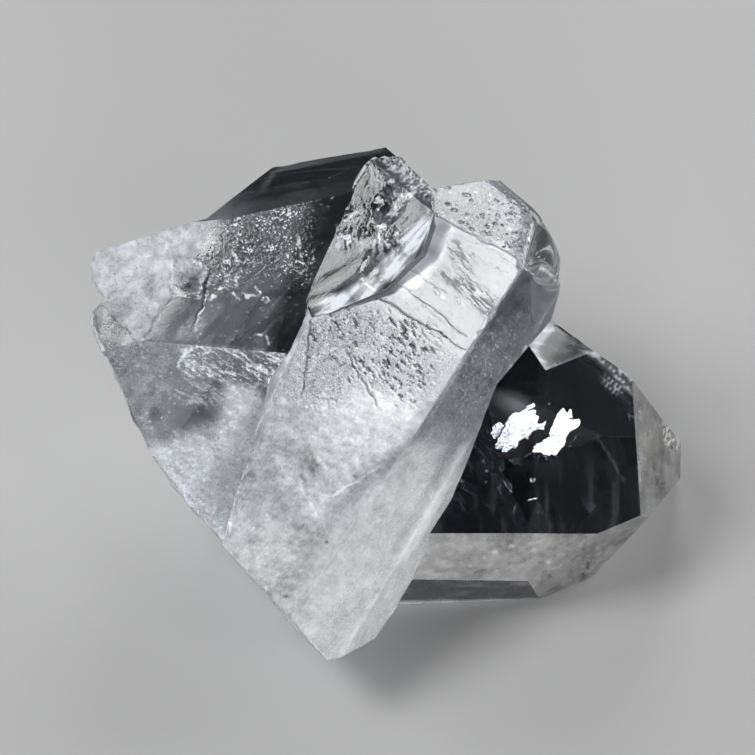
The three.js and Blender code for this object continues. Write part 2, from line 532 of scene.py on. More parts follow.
def middle_right(points, x, y):
    """The middle crystal's right face: clearer and streaked above, milky below."""
    look = Look(points, milk=0.09, rough=0.16, shade=0.86, fibre=0.06, speck=0.16)
    low = below(x, y + 10 * noise(points, 3.0, 68), *RIGHT_MILK_LIMIT)
    middle = blob(x, y, *RIGHT_MIDDLE)
    strip = line(x, y, *PALE_STRIP) * (0.75 + 0.4 * noise(points, 2.0, 71))
    ridge = line(x, y, *RIDGE, RIDGE_WIDTH)
    look.add(low, milk=0.6, speck=0.0, fibre=0.22, warm=0.4, rough=0.08)
    look.add(low, milk=0.08 * layered(points, 2.6, 72, 3) + 0.08 * layered(points, 1.2, 73, 3))
    look.add(low, height=milky_relief(points))
    look.add(middle, milk=0.08, speck=0.1, fibre=0.12)
    look.add(ridge * below(x, y, *ROUGH_RIDGE_LIMIT), rough=0.4)
    look.add(strip, milk=0.22, shade=0.1, speck=-0.1, fibre=-0.2)
    look.add(line(x, y, *STRIP_SHADOW), milk=-0.05, shade=-0.12)
    look.milk += 0.05 * layered(points, 6.0, 61) + 0.03 * layered(points, 1.2, 66, 3)
    look.height += 0.01 * layered(points, 0.9, 62, 3) + 0.04 * noise(points, 6.0, 63)
    # Streaks that run down to the right, across the crystal.
    zone = blob(x, y, *STREAK_ZONE)
    light = veins(x, y, 52, 4.0, 0.5, 67, 0.14, 0.5)
    look.add(zone * light, milk=0.24, height=0.02)
    look.add(zone, shade=-0.4 * veins(x, y, 54, 4.0, 0.35, 69, 0.2, 0.5), speck=0.1)
    look.add(line(x, y, *TOP_RIM), milk=0.14)
    return look


# Where the two faces start to fade into each other along the ridge, and how wide they do.
FADE_LIMIT = (440, 510)
FADE_WIDTH = 34


def faded(own, other):
    """A look that turns into its neighbour's along the lower half of the middle crystal's ridge."""

    def look(points, x, y):
        near = 0.5 * line(x, y, *RIDGE, FADE_WIDTH) * below(x, y, *FADE_LIMIT)
        return own(points, x, y).blend(other(points, x, y), near)

    return look


# Where the tip's pits stand closest, and the strip along its lower edge.
TIP_DENSE = ((518, 232), (34, 30), 0, 0.5)
TIP_ZONE = ((500, 215), (60, 40), 0, 0.5)
TIP_LOWER_STRIP = (((432, 216), (460, 230), (495, 243), (527, 258)), 5)


def middle_tip(points, x, y):
    """The tip's upper face, full of round pits with rims of painted shade and lips of painted highlight."""
    look = Look(points, milk=0.34, rough=0.13, shade=0.9, speck=0.16)
    dense = blob(x, y, *TIP_DENSE)
    some = 0.35 + 0.65 * blob(x, y, *TIP_ZONE)
    along, across = turned(x + 2 * noise(points, 1.0, 76), y + 1.5 * noise(points, 0.8, 70), 30)
    pits = some * marks(along, across, 1.15, 71, 0.5, pit)
    small = (0.4 * some + 0.6 * dense) * marks(along, across, 0.7, 72, 0.5, pit)
    look.height -= 0.12 * pits + 0.08 * small
    # Painted shade on the pits' rims, and painted highlights on their floors and on one lip of each.
    rims = smooth(pits, 0.05, 0.35) * (1 - smooth(pits, 0.55, 0.9)) + smooth(small, 0.25, 0.5)
    look.shade -= 0.8 * np.clip(rims, 0, 1)
    lips = marks(along, across - 0.14, 1.1, 71, 0.4, pit) * some
    look.milk += 0.4 * smooth(pits, 0.7, 1.0)
    look.milk += 0.45 * smooth(lips, 0.3, 0.7) * (1 - smooth(pits, 0.05, 0.3))
    wrinkles = veins(x, y, 20, 1.6, 1.0, 77, 0.18, 1.0) * (0.3 + 0.7 * dense)
    look.add(wrinkles, height=0.04, milk=0.25)
    look.height += 0.02 * layered(points, 2.4, 73, 3)
    look.milk += 0.08 * layered(points, 4.0, 74) - 0.06 * (1 - dense)
    look.speck += 0.3 * dense
    # A milkier strip runs along the lower edge.
    look.add(path(x, y, *TIP_LOWER_STRIP), milk=0.3)
    return look


# The cap's arcs, as radius and width in pixels round one middle, and its darkest place.
CAP_MIDDLE = (543, 236)
CAP_ARCS = ((24, 1.0), (29, 1.6), (33, 0.9), (38, 1.4), (42, 1.0))
ARCS_LIMIT = (256, 266, -0.3, 545)
CAP_SIDE_LIMIT = (552, 562)
CAP_FOOT_LIMIT = (262, 280)
CAP_DARK = ((548, 236), (12, 22), -10, 0.6)


def middle_cap(points, x, y):
    """The smooth right side of the tip, with a few shell-like arcs."""
    look = Look(points, milk=0.82, rough=0.22, shade=0.12, fibre=0.05, speck=0.12)
    reach = np.hypot(x - CAP_MIDDLE[0], (y - CAP_MIDDLE[1]) * 0.9)
    arcs = np.zeros(len(x))
    for radius, width in CAP_ARCS:
        arcs = np.maximum(arcs, 1 - smooth(np.abs(reach - radius), 0.4 * width, width))
    arcs = arcs * below(x, y, *ARCS_LIMIT)
    look.add(arcs, height=0.01, milk=0.1 + 0.1 * noise(points, 1.5, 84), shade=0.16)
    look.height += 0.03 * layered(points, 4.0, 81, 3)
    look.milk += 0.04 * layered(points, 2.0, 82)
    look.add(right_of(x, y, *CAP_SIDE_LIMIT), milk=0.1, shade=0.1)
    look.add(below(x, y, *CAP_FOOT_LIMIT), milk=0.08, shade=0.06)
    look.add(blob(x, y, *CAP_DARK), shade=-0.06)
    return look


# The frosted plate's right and left sides, where its upper part and the whole end stop, and two
# shades beside it.
PLATE_RIGHT = ((138, 346), (176, 286), 2)
PLATE_LEFT = ((98, 298), (141, 346), 2)
PLATE_TOP_LIMIT = (284, 290)
PLATE_TOP_RIGHT_LIMIT = (184, 204)
END_LIMIT = (150, 172)
END_SHADE = ((118, 322), (9, 16), -20, 0.6)
PLATE_FADE = ((202, 236), (22, 26), 10, 0.6)


def frosted_plate(look, points, x, y, wander):
    """The frosted end is a white plate with a scalloped lower rim, grey below it. Returns the plate."""
    past_right = beyond(x + wander, y, *PLATE_RIGHT)
    past_left = beyond(x, y + wander, *PLATE_LEFT)
    upper = 1 - below(x, y + wander, *PLATE_TOP_LIMIT)
    upper = upper * (1 - right_of(x + wander, y, *PLATE_TOP_RIGHT_LIMIT))
    plate = np.maximum((1 - past_right) * (1 - past_left), upper)
    mottle = layered(points, 1.8, 115, 4)
    patches = layered(points, 4.5, 112, 2)
    clots = layered(points, 0.6, 110, 3)
    end = 1 - right_of(x + wander, y, *END_LIMIT)
    look.add(plate, milk=0.4 + 0.16 * mottle, shade=0.37 + 0.13 * mottle + 0.1 * patches, rough=0.25)
    look.add(plate, milk=0.14 * clots, shade=0.08 * clots)
    look.add(plate, speck=0.4, height=0.05 + 0.03 * layered(points, 1.0, 112, 3))
    look.add(end * (1 - plate), milk=0.34 + 0.1 * mottle, shade=-0.02 + 0.06 * mottle, rough=0.1, speck=0.2)
    look.add(blob(x, y, *END_SHADE), shade=-0.2)
    fade = blob(x, y, *PLATE_FADE) * (1 - plate)
    look.add(fade, milk=0.1 + 0.16 * layered(points, 0.8, 95, 2), shade=0.15)
    return plate


# Low hills, and the little worm-like marks below them: middle, half length and turn.
HILLS_FOOT_LIMIT = (240, 282, -0.25, 230)
HILLS_START_LIMIT = (206, 228)
HILLS_END_LIMIT = (300, 322)
HILLS_LEFT = ((222, 268), (24, 22), 0, 0.5)
SQUIGGLE_WIDTH = 1.8
SQUIGGLES = (
    ((235, 256), 6, 60), ((247, 262), 8, 15), ((238, 279), 6, -30), ((233, 285), 5, 10), ((250, 295), 7, 0),
    ((259, 291), 5, 40), ((268, 299), 6, 10), ((236, 296), 5, 40), ((260, 336), 5, 20), ((267, 340), 4, 40),
    ((290, 262), 7, 65), ((287, 254), 5, 65), ((293, 270), 6, 60), ((302, 262), 5, 20), ((299, 240), 6, 85),
    ((300, 250), 6, 70), ((222, 288), 4, 0), ((213, 299), 4, 0), ((244, 270), 7, 30), ((226, 262), 5, 20),
)


def hills_and_squiggles(look, points, x, y, wander):
    """Low hills along the top, speckled with light, and bright worm-like marks below them."""
    top = 1 - below(x, y + wander, *HILLS_FOOT_LIMIT)
    hills = top * right_of(x + wander, y, *HILLS_START_LIMIT)
    hills = hills * (1 - right_of(x + wander, y, *HILLS_END_LIMIT))
    hills = np.maximum(hills, 0.8 * blob(x, y, *HILLS_LEFT))
    ridges = veins(x, y, 60, 0.9, 0.38, 91, 0.24, 0.8)
    round_hills = marks(x * PIXEL, y * PIXEL, 0.55, 92, 0.8, hillock)
    groups = smooth(layered(points, 1.5, 90, 3), -0.5, 0.6)
    glints = smooth((ridges + 0.5 * round_hills) * (0.45 + 0.75 * groups), 0.6, 0.95)
    look.add(hills, height=0.08 * ridges + 0.09 * round_hills, speck=0.8)
    look.add(hills, milk=0.01 + 0.9 * glints, shade=0.65 * glints)
    wavy = y + 3.0 * noise(np.stack([x * PIXEL, y * PIXEL], 1), 0.7, 89)
    squiggle = np.zeros(len(x))
    for place, length, turn in SQUIGGLES:
        squiggle = np.maximum(squiggle, blob(x, wavy, place, (length, SQUIGGLE_WIDTH), turn, 0.6))
    squiggle = squiggle * smooth(layered(points, 0.5, 94, 2), -0.5, 0.4)
    look.add(squiggle, height=0.08, milk=0.9, shade=0.6)


# The squarish shell break: its middle, how far from it its sides start and end, the middle of its
# ripples, its dark place, its rim and what runs on from it.
SHELL_MIDDLE = (188, 277)
SHELL_ACROSS = (13, 18)
SHELL_DOWN = (16, 21)
RIPPLE_MIDDLE = (205, 246)
SHELL_DARK = ((190, 280), (11, 8), 0, 0.6)
SHELL_RIM = (((171, 262), (172, 288), (182, 297), (200, 292), (207, 276)), 1.5, 111, 1.5)
SHELL_TAIL = (((176, 292), (165, 306), (141, 344)), 2.0, 110, 2.0)


def shell_break(look, points, x, y, wander, plate):
    """The squarish shell break, with a bright lower rim and fine arcs in it."""
    dx, dy = x - SHELL_MIDDLE[0] + wander * 0.4, y - SHELL_MIDDLE[1] + wander * 0.3
    shell = 1 - smooth(np.abs(dx + 0.25 * dy), *SHELL_ACROSS)
    shell = shell * (1 - smooth(np.abs(dy - 0.2 * dx), *SHELL_DOWN))
    reach = np.hypot(x - RIPPLE_MIDDLE[0], y - RIPPLE_MIDDLE[1])
    ripples = np.sin(reach * PIXEL * 9 + 1.5 * noise(points, 1.5, 132))
    look.add(shell, height=0.02 * ripples - 0.12, milk=0.22 * smooth(ripples, 0.2, 1) - 0.08 * plate)
    look.add(shell * (1 - plate), shade=0.2)
    look.add(blob(x, y, *SHELL_DARK), milk=-0.25, shade=-0.1)
    rim = path(x, y, *SHELL_RIM)
    look.add(rim * smooth(layered(points, 0.8, 109, 2), -0.6, 0.3), milk=0.3, shade=0.3)
    look.add(path(x, y, *SHELL_TAIL), milk=0.25)


# The step and the pale patch below the shell break, and where the face turns darker on its right.
DARK_STEP = (((210, 268), (204, 300), (193, 328)), 2.4, 97, 1.2)
PALE_FOOT = ((192, 328), (17, 9), -40, 0.6)
PALE_FOOT_RIGHT = ((208, 306), (8, 18), 20, 0.7)
DARKER_LIMIT = (286, 312, 0.25, 230)


def left_face(points, x, y):
    """The left crystal's front and its frosted end."""
    look = Look(points, milk=0.21, rough=0.1, shade=0.3, speck=0.24)
    wander = 5 * noise(points, 1.6, 113) + 2.5 * noise(points, 0.6, 114)
    plate = frosted_plate(look, points, x, y, wander)
    hills_and_squiggles(look, points, x, y, wander)
    shell_break(look, points, x, y, wander, plate)
    # A step down from the shell break, darkened with painted shade, and the pale patch at its foot.
    look.add(path(x, y, *DARK_STEP), height=-0.07, shade=-0.35)
    pale = blob(x, y, *PALE_FOOT) + 0.5 * blob(x, y, *PALE_FOOT_RIGHT)
    look.add(pale, milk=0.2 + 0.16 * layered(points, 0.8, 98, 2), shade=0.28, speck=0.4)
    # Faint smears and specks in the dark middle.
    smears = smooth(strokes(x, y, -50, 2.4, 0.8, 83, 3), 0.1, 0.9)
    look.add(smears * (1 - plate), milk=0.1, shade=0.08)
    look.add(flecks(x, y, 0.8, 82, 0.12) * (1 - plate), milk=0.2, shade=0.3)
    look.height += 0.02 * noise(points, 5.0, 93)
    look.add(right_of(x, y, *DARKER_LIMIT), shade=-0.35)
    look.milk += 0.03 * layered(points, 5.0, 86)
    return look


# The left low face's rows of bands and the lips round them, lit with painted highlights, its dark places, and
# the strip of painted light beside the ridge.
ROWS_TOP_LIMIT = (341, 346)
ROWS_FOOT_LIMIT = (376, 388, -0.12, 230)
ROWS_START_LIMIT = (172, 184, -0.2, 345)
ROWS_END_LIMIT = (278, 292)
LOW_MILK_LIMIT = (382, 394, -0.1, 250)
LOW_MILK_START_LIMIT = (214, 234, 0.25, 390)
LOWEST_MILK_LIMIT = (406, 442, 0.25, 225)
LOW_LEFT_LIMIT = (160, 205, 0.3, 350)
LOWER_ROWS = ((197, 392), (26, 14), 10, 0.5)
ROWS_TOP_LIP = (((196, 347), (216, 344), (250, 344), (286, 350)), 1.6, 109, 1.5)
ROWS_LEFT_LIP = (((192, 349), (181, 358), (178, 368)), 2.2, 105, 1.5)
PAINTED_LIGHT_BESIDE_RIDGE = (((280, 372), (258, 424), (240, 480), (224, 545)), 17)
DARK_DOT = ((156, 413), (6, 6), 0, 0.6)
DARK_PATCH = ((210, 412), (16, 12), 0, 0.7)


def left_low(points, x, y):
    """The left crystal's lower face: rows of bands lit with painted highlights, over a milky end."""
    look = Look(points, milk=0.16, rough=0.12, shade=0.6, speck=0.25)
    outline = np.minimum(below(x, y, *ROWS_TOP_LIMIT), 1 - below(x, y, *ROWS_FOOT_LIMIT))
    outline = outline * right_of(x, y, *ROWS_START_LIMIT) * (1 - right_of(x, y, *ROWS_END_LIMIT))
    rows = np.maximum(outline, 0.55 * blob(x, y, *LOWER_ROWS))
    bands = veins(x, y, 27, 4.2, 0.75, 101, 0.36, 0.5)
    thin = veins(x, y, 22, 1.6, 0.32, 104, 0.4, 0.5)
    gaps = smooth(layered(points, 1.1, 107, 3), -0.5, 0.3)
    # Painted highlights: the bands' crests are made milky white where they would catch the light.
    light = np.clip(smooth(bands, 0.1, 0.8) * (0.45 + 0.7 * thin) + 0.5 * thin * gaps, 0, 1)
    look.add(rows, height=0.12 * bands + 0.05 * thin, milk=0.75 * light + 0.08, shade=0.4 * light, speck=0.4)
    look.height += 0.03 * layered(points, 4.0, 103, 3)
    # Painted highlights along the rows' top and left lips.
    look.add(path(x, y, *ROWS_TOP_LIP), milk=0.6, shade=0.4)
    look.add(path(x, y, *ROWS_LEFT_LIP), milk=0.5, shade=0.4)
    # The milky lower end.
    low = below(x, y + 12 * noise(points, 4.0, 108), *LOW_MILK_LIMIT)
    low = low * right_of(x, y, *LOW_MILK_START_LIMIT)
    low = np.maximum(low, below(x, y + 12 * noise(points, 2.5, 100), *LOWEST_MILK_LIMIT))
    left = (1 - right_of(x, y, *LOW_LEFT_LIMIT)) * (1 - low)
    # Painted light: milk and specks along the ridge lighten the shadow that the ridge casts on this face.
    beside = path(x, y, *PAINTED_LIGHT_BESIDE_RIDGE)
    look.add(low, milk=0.38 + 0.07 * layered(points, 3.0, 88) + 0.12 * beside, speck=0.1 + 0.3 * beside)
    look.add(low, shade=0.4, fibre=0.25, rough=0.2, height=0.02 * layered(points, 1.0, 106, 3))
    threads = veins(x, y, -35, 3.0, 1.0, 87, 0.12, 1.0)
    look.add(low, milk=0.3 * threads + 0.1 * strokes(x, y, 24, 1.4, 0.4, 84, 3))
    look.add(left, milk=0.11 + 0.12 * layered(points, 1.0, 102, 4), shade=0.2, speck=0.2, rough=0.14)
    look.add(blob(x, y, *DARK_DOT) + 0.4 * blob(x, y, *DARK_PATCH), shade=-0.4)
    look.add(flecks(x, y, 0.8, 85, 0.15) * (1 - rows), milk=0.25, shade=0.3)
    return look


# The band of broken facets across the stub's middle, and the darkest place above it.
STUB_BELT = (((336, 240), (352, 228), (378, 226), (402, 246)), 17)
BELT_TOP = ((366, 214), (34, 16), 0, 0.6)
STUB_DARK = ((370, 198), (18, 12), -30, 0.7)


def stub_belt(look, points, x, y, warp_x, warp_y):
    """Small broken facets, each with its own tilt and tone, across the middle."""
    zone = path(x, y, *STUB_BELT)
    zone = np.maximum(zone, 0.8 * blob(x, y, *BELT_TOP))
    along, across = turned(0.6 * warp_x + 0.4 * x, 0.6 * warp_y + 0.4 * y, -25)
    large, large_rise = shards(along / 1.5, across, 1.1, 123)
    small, small_rise = shards(along, across, 0.55, 133)
    crumbs = layered(points, 0.5, 126, 2)
    tone = 0.75 * large + 0.5 * small + 0.2 * crumbs
    light, dark = smooth(tone, 0.25, 0.7), smooth(-tone, 0.1, 0.6)
    look.add(zone, height=0.2 * large_rise + 0.08 * small_rise + 0.02 * crumbs, speck=0.2)
    look.add(zone, milk=0.6 * light, shade=0.55 * light - 0.6 * dark)
    look.add(blob(x, y, *STUB_DARK), milk=-0.06, shade=-0.35)


# Rays have their own middle, then their zone's middle, radii and turn, and a seed. Flashes have no
# turn.
STUB_RAYS = (
    ((346, 218), (346, 236), (15, 18), 0, 120),
    ((378, 222), (378, 240), (18, 16), 0, 122),
    ((372, 160), (378, 186), (15, 26), -20, 124),
    ((404, 206), (400, 200), (16, 8), -15, 126),
)
STUB_FLASHES = (((345, 221), (6, 3)), ((377, 226), (6, 3)), ((349, 236), (4, 3)), ((404, 196), (9, 2.5)))


def stub_rays(look, x, y, warp_x, warp_y):
    """Rays from the places where the break turned, with a small bright flash in each."""
    for middle, centre, size, turn, seed in STUB_RAYS:
        where = 0.8 * blob(x, y, centre, size, turn, 0.7)
        rays = fan(x + 0.4 * (warp_x - x), y + 0.4 * (warp_y - y), middle, 14, seed)
        bright, dim = smooth(rays, 0.1, 0.5), smooth(-rays, 0.15, 0.6)
        look.add(where, milk=0.6 * bright, shade=0.42 * bright - 0.6 * dim, height=0.025 * rays)
    for place, size in STUB_FLASHES:
        look.add(blob(warp_x, warp_y, place, size, 0, 0.5), milk=0.7, shade=0.3)


# The lower half's limit, rays, bright band, foot, and the middle of its waves.
STUB_LOWER_LIMIT = (240, 268, 0.5, 350)
BAND_RAYS = ((440, 206), 16, 128)
STUB_BAND = (((318, 310), (352, 299), (380, 278), (404, 254), (430, 216)), 14)
STUB_TOE = (((314, 315), (345, 308), (384, 292)), 2.2)
STUB_WAVES = (300, 190)


def stub_lower_half(look, points, x, y):
    """A band fanning out from the right end, made bright with painted light, and fine lines and waves along
    it.
    """
    lower = below(x, y, *STUB_LOWER_LIMIT)
    rays = fan(x, y, *BAND_RAYS)
    fine_lines = veins(x, y, -48, 5.0, 0.35, 129, 0.3, 1.0)
    band = path(x, y, *STUB_BAND)
    look.add(lower, height=0.03 * rays + 0.015 * fine_lines)
    look.add(lower, milk=0.12 * smooth(rays, -0.2, 0.6) + 0.2 * fine_lines)
    streaky = smooth(rays + 0.5 * strokes(x, y, -38, 4.0, 0.5, 131, 2), -0.5, 0.5)
    # Painted light: the band is made milky white where it catches the light.
    look.add(band * lower, milk=0.45 + 0.55 * streaky, shade=0.5 + 0.4 * streaky, fibre=0.3)
    look.add(lower * (1 - band), shade=-0.35 * smooth(-rays, 0.1, 0.7) - 0.1, speck=0.2)
    look.add(path(x, y, *STUB_TOE), milk=0.7, shade=0.25)
    reach = np.hypot(x - STUB_WAVES[0], y - STUB_WAVES[1]) * PIXEL
    look.add(lower, height=0.035 * np.sin(reach * 2.6 + 1.2 * noise(points, 4.0, 121)))


STUB_TOP = ((412, 179), (32, 9), 42, 0.3)
STUB_PEAK = ((396, 163), (15, 6), 20, 0.4)
STUB_LEFT_EDGE = (((336, 206), (328, 232), (318, 268)), 4.5, 117, 2)


def stub_top(look, points, x, y):
    """The top and the left edge are rough, and the top is dark-spotted."""
    top = np.maximum(blob(x, y, *STUB_TOP), blob(x, y, *STUB_PEAK))
    spots = smooth(flecks(x, y, 0.8, 130, 0.4), 0.2, 0.6)
    bits = smooth(layered(points, 0.5, 118, 2), -0.4, 0.5)
    look.add(top, milk=0.6 * bits, shade=0.45 * bits - 0.95 * spots)
    look.add(top, height=0.1 * layered(points, 0.6, 119, 3), speck=0.7, rough=0.12)
    look.add(path(x, y, *STUB_LEFT_EDGE), milk=0.5 * bits, shade=0.25)


def stub(points, x, y):
    """The stub's break: glassy shell-like ripples, rays and rough patches."""
    look = Look(points, milk=0.17, rough=0.06, shade=0.38, speck=0.12)
    warp_x = x + 6 * noise(points, 1.1, 136) + 3 * noise(points, 0.5, 138)
    warp_y = y + 6 * noise(points, 1.1, 137) + 3 * noise(points, 0.5, 139)
    stub_belt(look, points, x, y, warp_x, warp_y)
    stub_rays(look, x, y, warp_x, warp_y)
    stub_lower_half(look, points, x, y)
    stub_top(look, points, x, y)
    look.height += 0.02 * layered(points, 3.0, 125, 3)
    return look


# Which look carries on into a shell-shaped break, by where the break lies across the picture.
CHIP_LOOKS = ((0, 250, left_face), (300, 445, stub), (500, 600, middle_cap))


def chip(points, x, y):
    """The shell-shaped breaks: frosted at the clear crystal's tip, and elsewhere as what is beside them."""
    look = Look(points, milk=0.5, rough=0.15, shade=0.9, speck=0.5)
    look.height += 0.14 * layered(points, 0.9, 135, 2)
    look.milk += 0.4 * layered(points, 0.8, 134, 2)
    for left, right, neighbour in CHIP_LOOKS:
        look.blend(neighbour(points, x, y), (x > left) & (x < right))
    return look


def stub_wall(points, x, y):
    """The stub's plain walls on its right."""
    look = Look(points, milk=0.14, rough=0.3, shade=0.3)
    look.height += 0.05 * layered(points, 1.6, 131, 3)
    return look


# The clear window's left part, its pale streaks, its glow and scratch, and what streaks its upper
# outline.
WINDOW_LEFT_LIMIT = (531, 535, 0.06, 450)
STREAKS_START_LIMIT = (430, 520)
STREAKS_END_LIMIT = (528, 534)
WINDOW_GLOW = ((516, 405), (17, 9), 25, 1.0)
WINDOW_SCRATCH = ((596, 436), (625, 481), 1.5, 140, 2.0)
WINDOW_RIM = (((562, 328), (600, 354), (640, 392)), 10)
RIM_HATCH = ((613, 385), (12, 6), 40, 0.5)
RIM_FLASH = ((588, 350), (12, 3.5), 28, 0.5)


def clear_face(points, x, y):
    """The clear right crystal's flat faces, which show what is inside it, darkened with painted shade."""
    right = right_of(x, y, *WINDOW_LEFT_LIMIT)
    # Painted shade: a low shade darkens the light that passes through, so the window looks dark.
    look = Look(points, milk=0.002, rough=0.01, shade=0.3)
    look.height += 0.008 * noise(points, 16.0, 141)
    look.add(right, milk=0.012, shade=0.2)
    glow = blob(x, y, *WINDOW_GLOW)
    look.add(glow, milk=0.22, shade=0.5)
    look.add(line(x, y, *WINDOW_SCRATCH), milk=0.06, shade=0.3)
    streaks = smooth(noise(np.stack([x * PIXEL * 3, y * PIXEL * 0.4], 1), 2.0, 142), 0.1, 1)
    streaks = streaks * below(x, y, *STREAKS_START_LIMIT) * (1 - below(x, y, *STREAKS_END_LIMIT))
    look.add(streaks, milk=0.05, shade=0.2)
    # A strip of painted shade along the upper outline, with painted streaks of light on it.
    rim = path(x, y, *WINDOW_RIM)
    bands = smooth(strokes(x, y, 38, 2.4, 0.4, 144, 2), 0.15, 0.5)
    hatch = smooth(np.sin((x * 0.75 - y) * 1.3), -0.2, 0.6) * blob(x, y, *RIM_HATCH)
    flash = blob(x, y, *RIM_FLASH)
    bright = np.clip(rim * bands + hatch + flash, 0, 1)
    look.add(rim, milk=0.35, shade=-0.3)
    look.add(bright, milk=0.45, shade=0.8)
    return look


# Sides of the small facet at the clear crystal's top, and where its streaks and dull part start.
QUAD_LEFT_EDGE = ((530, 350), (552, 324), 9)
QUAD_CORNER_EDGE = ((530, 350), (546, 370), 8)
QUAD_LOWER_EDGE = ((546, 370), (592, 352), 4)
QUAD_STREAKS_LIMIT = (560, 580, -1.5, 340)
QUAD_DULL_LIMIT = (545, 580, 0.6, 350)


def right_quad(points, x, y):
    """The small bright facet at the clear crystal's top, lit by a lamp and by painted highlights."""
    look = Look(points, milk=0.05, rough=0.04, shade=0.4)
    edge = np.maximum(line(x, y, *QUAD_LEFT_EDGE), line(x, y, *QUAD_CORNER_EDGE))
    corner = line(x, y, *QUAD_LOWER_EDGE)
    upper = smooth(strokes(x, y, 28, 2.5, 0.5, 139, 2), 0.1, 0.6)
    upper = upper * right_of(x, y, *QUAD_STREAKS_LIMIT)
    # Painted highlights: milk along the edges and in streaks lightens them.
    look.add(edge, milk=0.5, shade=0.5)
    look.add(corner, milk=0.2, shade=0.4)
    look.add(upper, milk=0.3, shade=0.4)
    look.milk += 0.04 * layered(points, 1.0, 145)
    # The right part is duller, and darker with painted shade.
    look.add(right_of(x, y, *QUAD_DULL_LIMIT), milk=0.1, shade=-0.4, rough=0.3)
    look.add(smooth(strokes(x, y, 14, 3.5, 0.4, 138, 2), 0.1, 0.7), milk=0.2, shade=0.3)
    return look


# White spots and a crack in the pale band, and where its foot and its right end turn darker.
BAND_SPOT = (2.0, 1.6)
BAND_SPOTS = ((495, 552), (484, 558), (534, 550), (512, 546), (470, 566), (548, 562))
BAND_CRACK = (((474, 573), (482, 569), (488, 572), (500, 566)), 1.1, 149, 2)
BAND_FOOT_LIMIT = (556, 580)
BAND_END_LIMIT = (530, 570)


def right_band(points, x, y):
    """The pale band below the clear crystal's window."""
    look = Look(points, milk=0.38, rough=0.16, shade=0.88, speck=0.14, warm=0.8)
    look.milk += 0.12 * layered(points, 5.0, 146, 3) + 0.1 * layered(points, 1.0, 147, 3)
    for place in BAND_SPOTS:
        look.add(blob(x, y, place, BAND_SPOT, 0, 0.6), milk=0.35)
    look.add(path(x, y, *BAND_CRACK), shade=-0.35)
    look.add(below(x, y, *BAND_FOOT_LIMIT), shade=-0.12)
    look.add(right_of(x, y, *BAND_END_LIMIT), shade=-0.1)
    return look


# Where the dark facet's light rim starts.
FOOT_RIM_LIMIT = (598, 602, 0.02, 480)


def right_foot(points, x, y):
    """The facet below the pale band, painted nearly black as painted shade, with a light lower rim."""
    look = Look(points, milk=0.95, rough=0.3, shade=0.0, speck=0.1)
    dark_mottle = layered(points, 2.2, 150, 3)
    look.shade += 0.08 * dark_mottle + 0.06 * strokes(x, y, 4, 5.0, 0.7, 148)
    look.add(below(x, y, *FOOT_RIM_LIMIT), milk=0.3, shade=0.6)
    return look


# The outer facets' darker lower end, and the sparkle at the tip.
EDGE_LOW = ((572, 562), (44, 30), 0, 0.3)
EDGE_SPARKLE = ((671, 434), (8, 17), -12, 0.4)


def right_edge(points, x, y):
    """The clear crystal's outer facets, evenly grey."""
    look = Look(points, milk=0.22, rough=0.14, shade=0.86, speck=0.3, warm=0.9)
    look.height += 0.01 * layered(points, 3.0, 151, 3)
    look.milk += 0.08 * layered(points, 4.0, 152, 3) + 0.08 * layered(points, 1.0, 158, 3)
    low = blob(x, y, *EDGE_LOW)
    streaks = smooth(noise(np.stack([x * PIXEL * 2.2, y * PIXEL * 0.35], 1), 1.0, 160), 0.0, 0.8)
    ticks = marks(x * PIXEL, y * PIXEL / 3.2, 1.1, 153, 0.5, pit)
    look.add(low, shade=-0.7 * ticks - 0.3 * streaks, milk=0.06)
    sparkle = blob(x, y, *EDGE_SPARKLE)
    bits = smooth(layered(points, 0.6, 155, 2), -0.2, 0.4)
    look.add(sparkle, height=0.1 * layered(points, 0.8, 154, 2), milk=0.6 * bits, speck=0.7)
    return look


def glassy_side(points, x, y):
    """Clear facets that are turned away from the picture: glassy, with milky veils."""
    veils = smooth(layered(points, 10.0, 156, 4), -0.1, 0.9)
    look = Look(points, milk=0.12, rough=0.04, shade=0.9, fibre=0.12)
    look.add(veils, milk=0.5, rough=0.1)
    look.height += 0.08 * growth_steps(points, 157) + 0.02 * layered(points, 4.0, 158, 2)
    return look


# The paler left end of the left crystal's dark upper face, and a seam along it.
SLAB_LEFT_LIMIT = (215, 262)
SLAB_SEAM = (((262, 190), (276, 170), (384, 149)), 4)


def smooth_dark(points, x, y):
    """The left crystal's upper face: smooth, and darkened with painted shade."""
    look = Look(points, milk=0.05, rough=0.06, shade=0.08, fibre=0.15)
    look.height += 0.03 * layered(points, 6.0, 161, 3)
    look.milk += 0.06 * smooth(strokes(x, y, -12, 8.0, 0.8, 162, 3), 0, 1)
    look.add(1 - right_of(x, y, *SLAB_LEFT_LIMIT), milk=0.08, shade=0.4)
    look.add(path(x, y, *SLAB_SEAM), milk=0.1, shade=0.25)
    return look


def clear_back(points, x, y):
    """The hidden faces behind the clear crystal's window: smooth, and darkened with painted shade so that the
    window looks dark.
    """
    look = Look(points, rough=0.03, shade=0.05)
    look.height += 0.03 * noise(points, 12.0, 165)
    return look


# How far right the cut turns clear, in millimetres, and how that leans with depth.
CLEAR_CUT_LIMIT = (4, 12)
CLEAR_CUT_LEAN = 0.4


def base_cut(points, x, y):
    """The flat cut under the cluster: polished below the clear crystal, so that it stays clear."""
    look = Look(points, rough=0.01, shade=0.9)
    milky = 1 - smooth(points[:, 0] + CLEAR_CUT_LEAN * points[:, 1], *CLEAR_CUT_LIMIT)
    look.add(milky, milk=0.3, rough=0.3)
    return look


def growth_steps(points, seed):
    """Shallow steps with thin lit edges, as on a crystal's sides."""
    drawn = np.stack([points[:, 0] / 3.0, points[:, 1] / 3.0, points[:, 2]], 1)
    field = layered(drawn, 4.0, seed, 3) * 2.5
    part = field - np.floor(field)
    return np.clip(np.floor(field) + smooth(part, 0.35, 0.65), -3, 3)


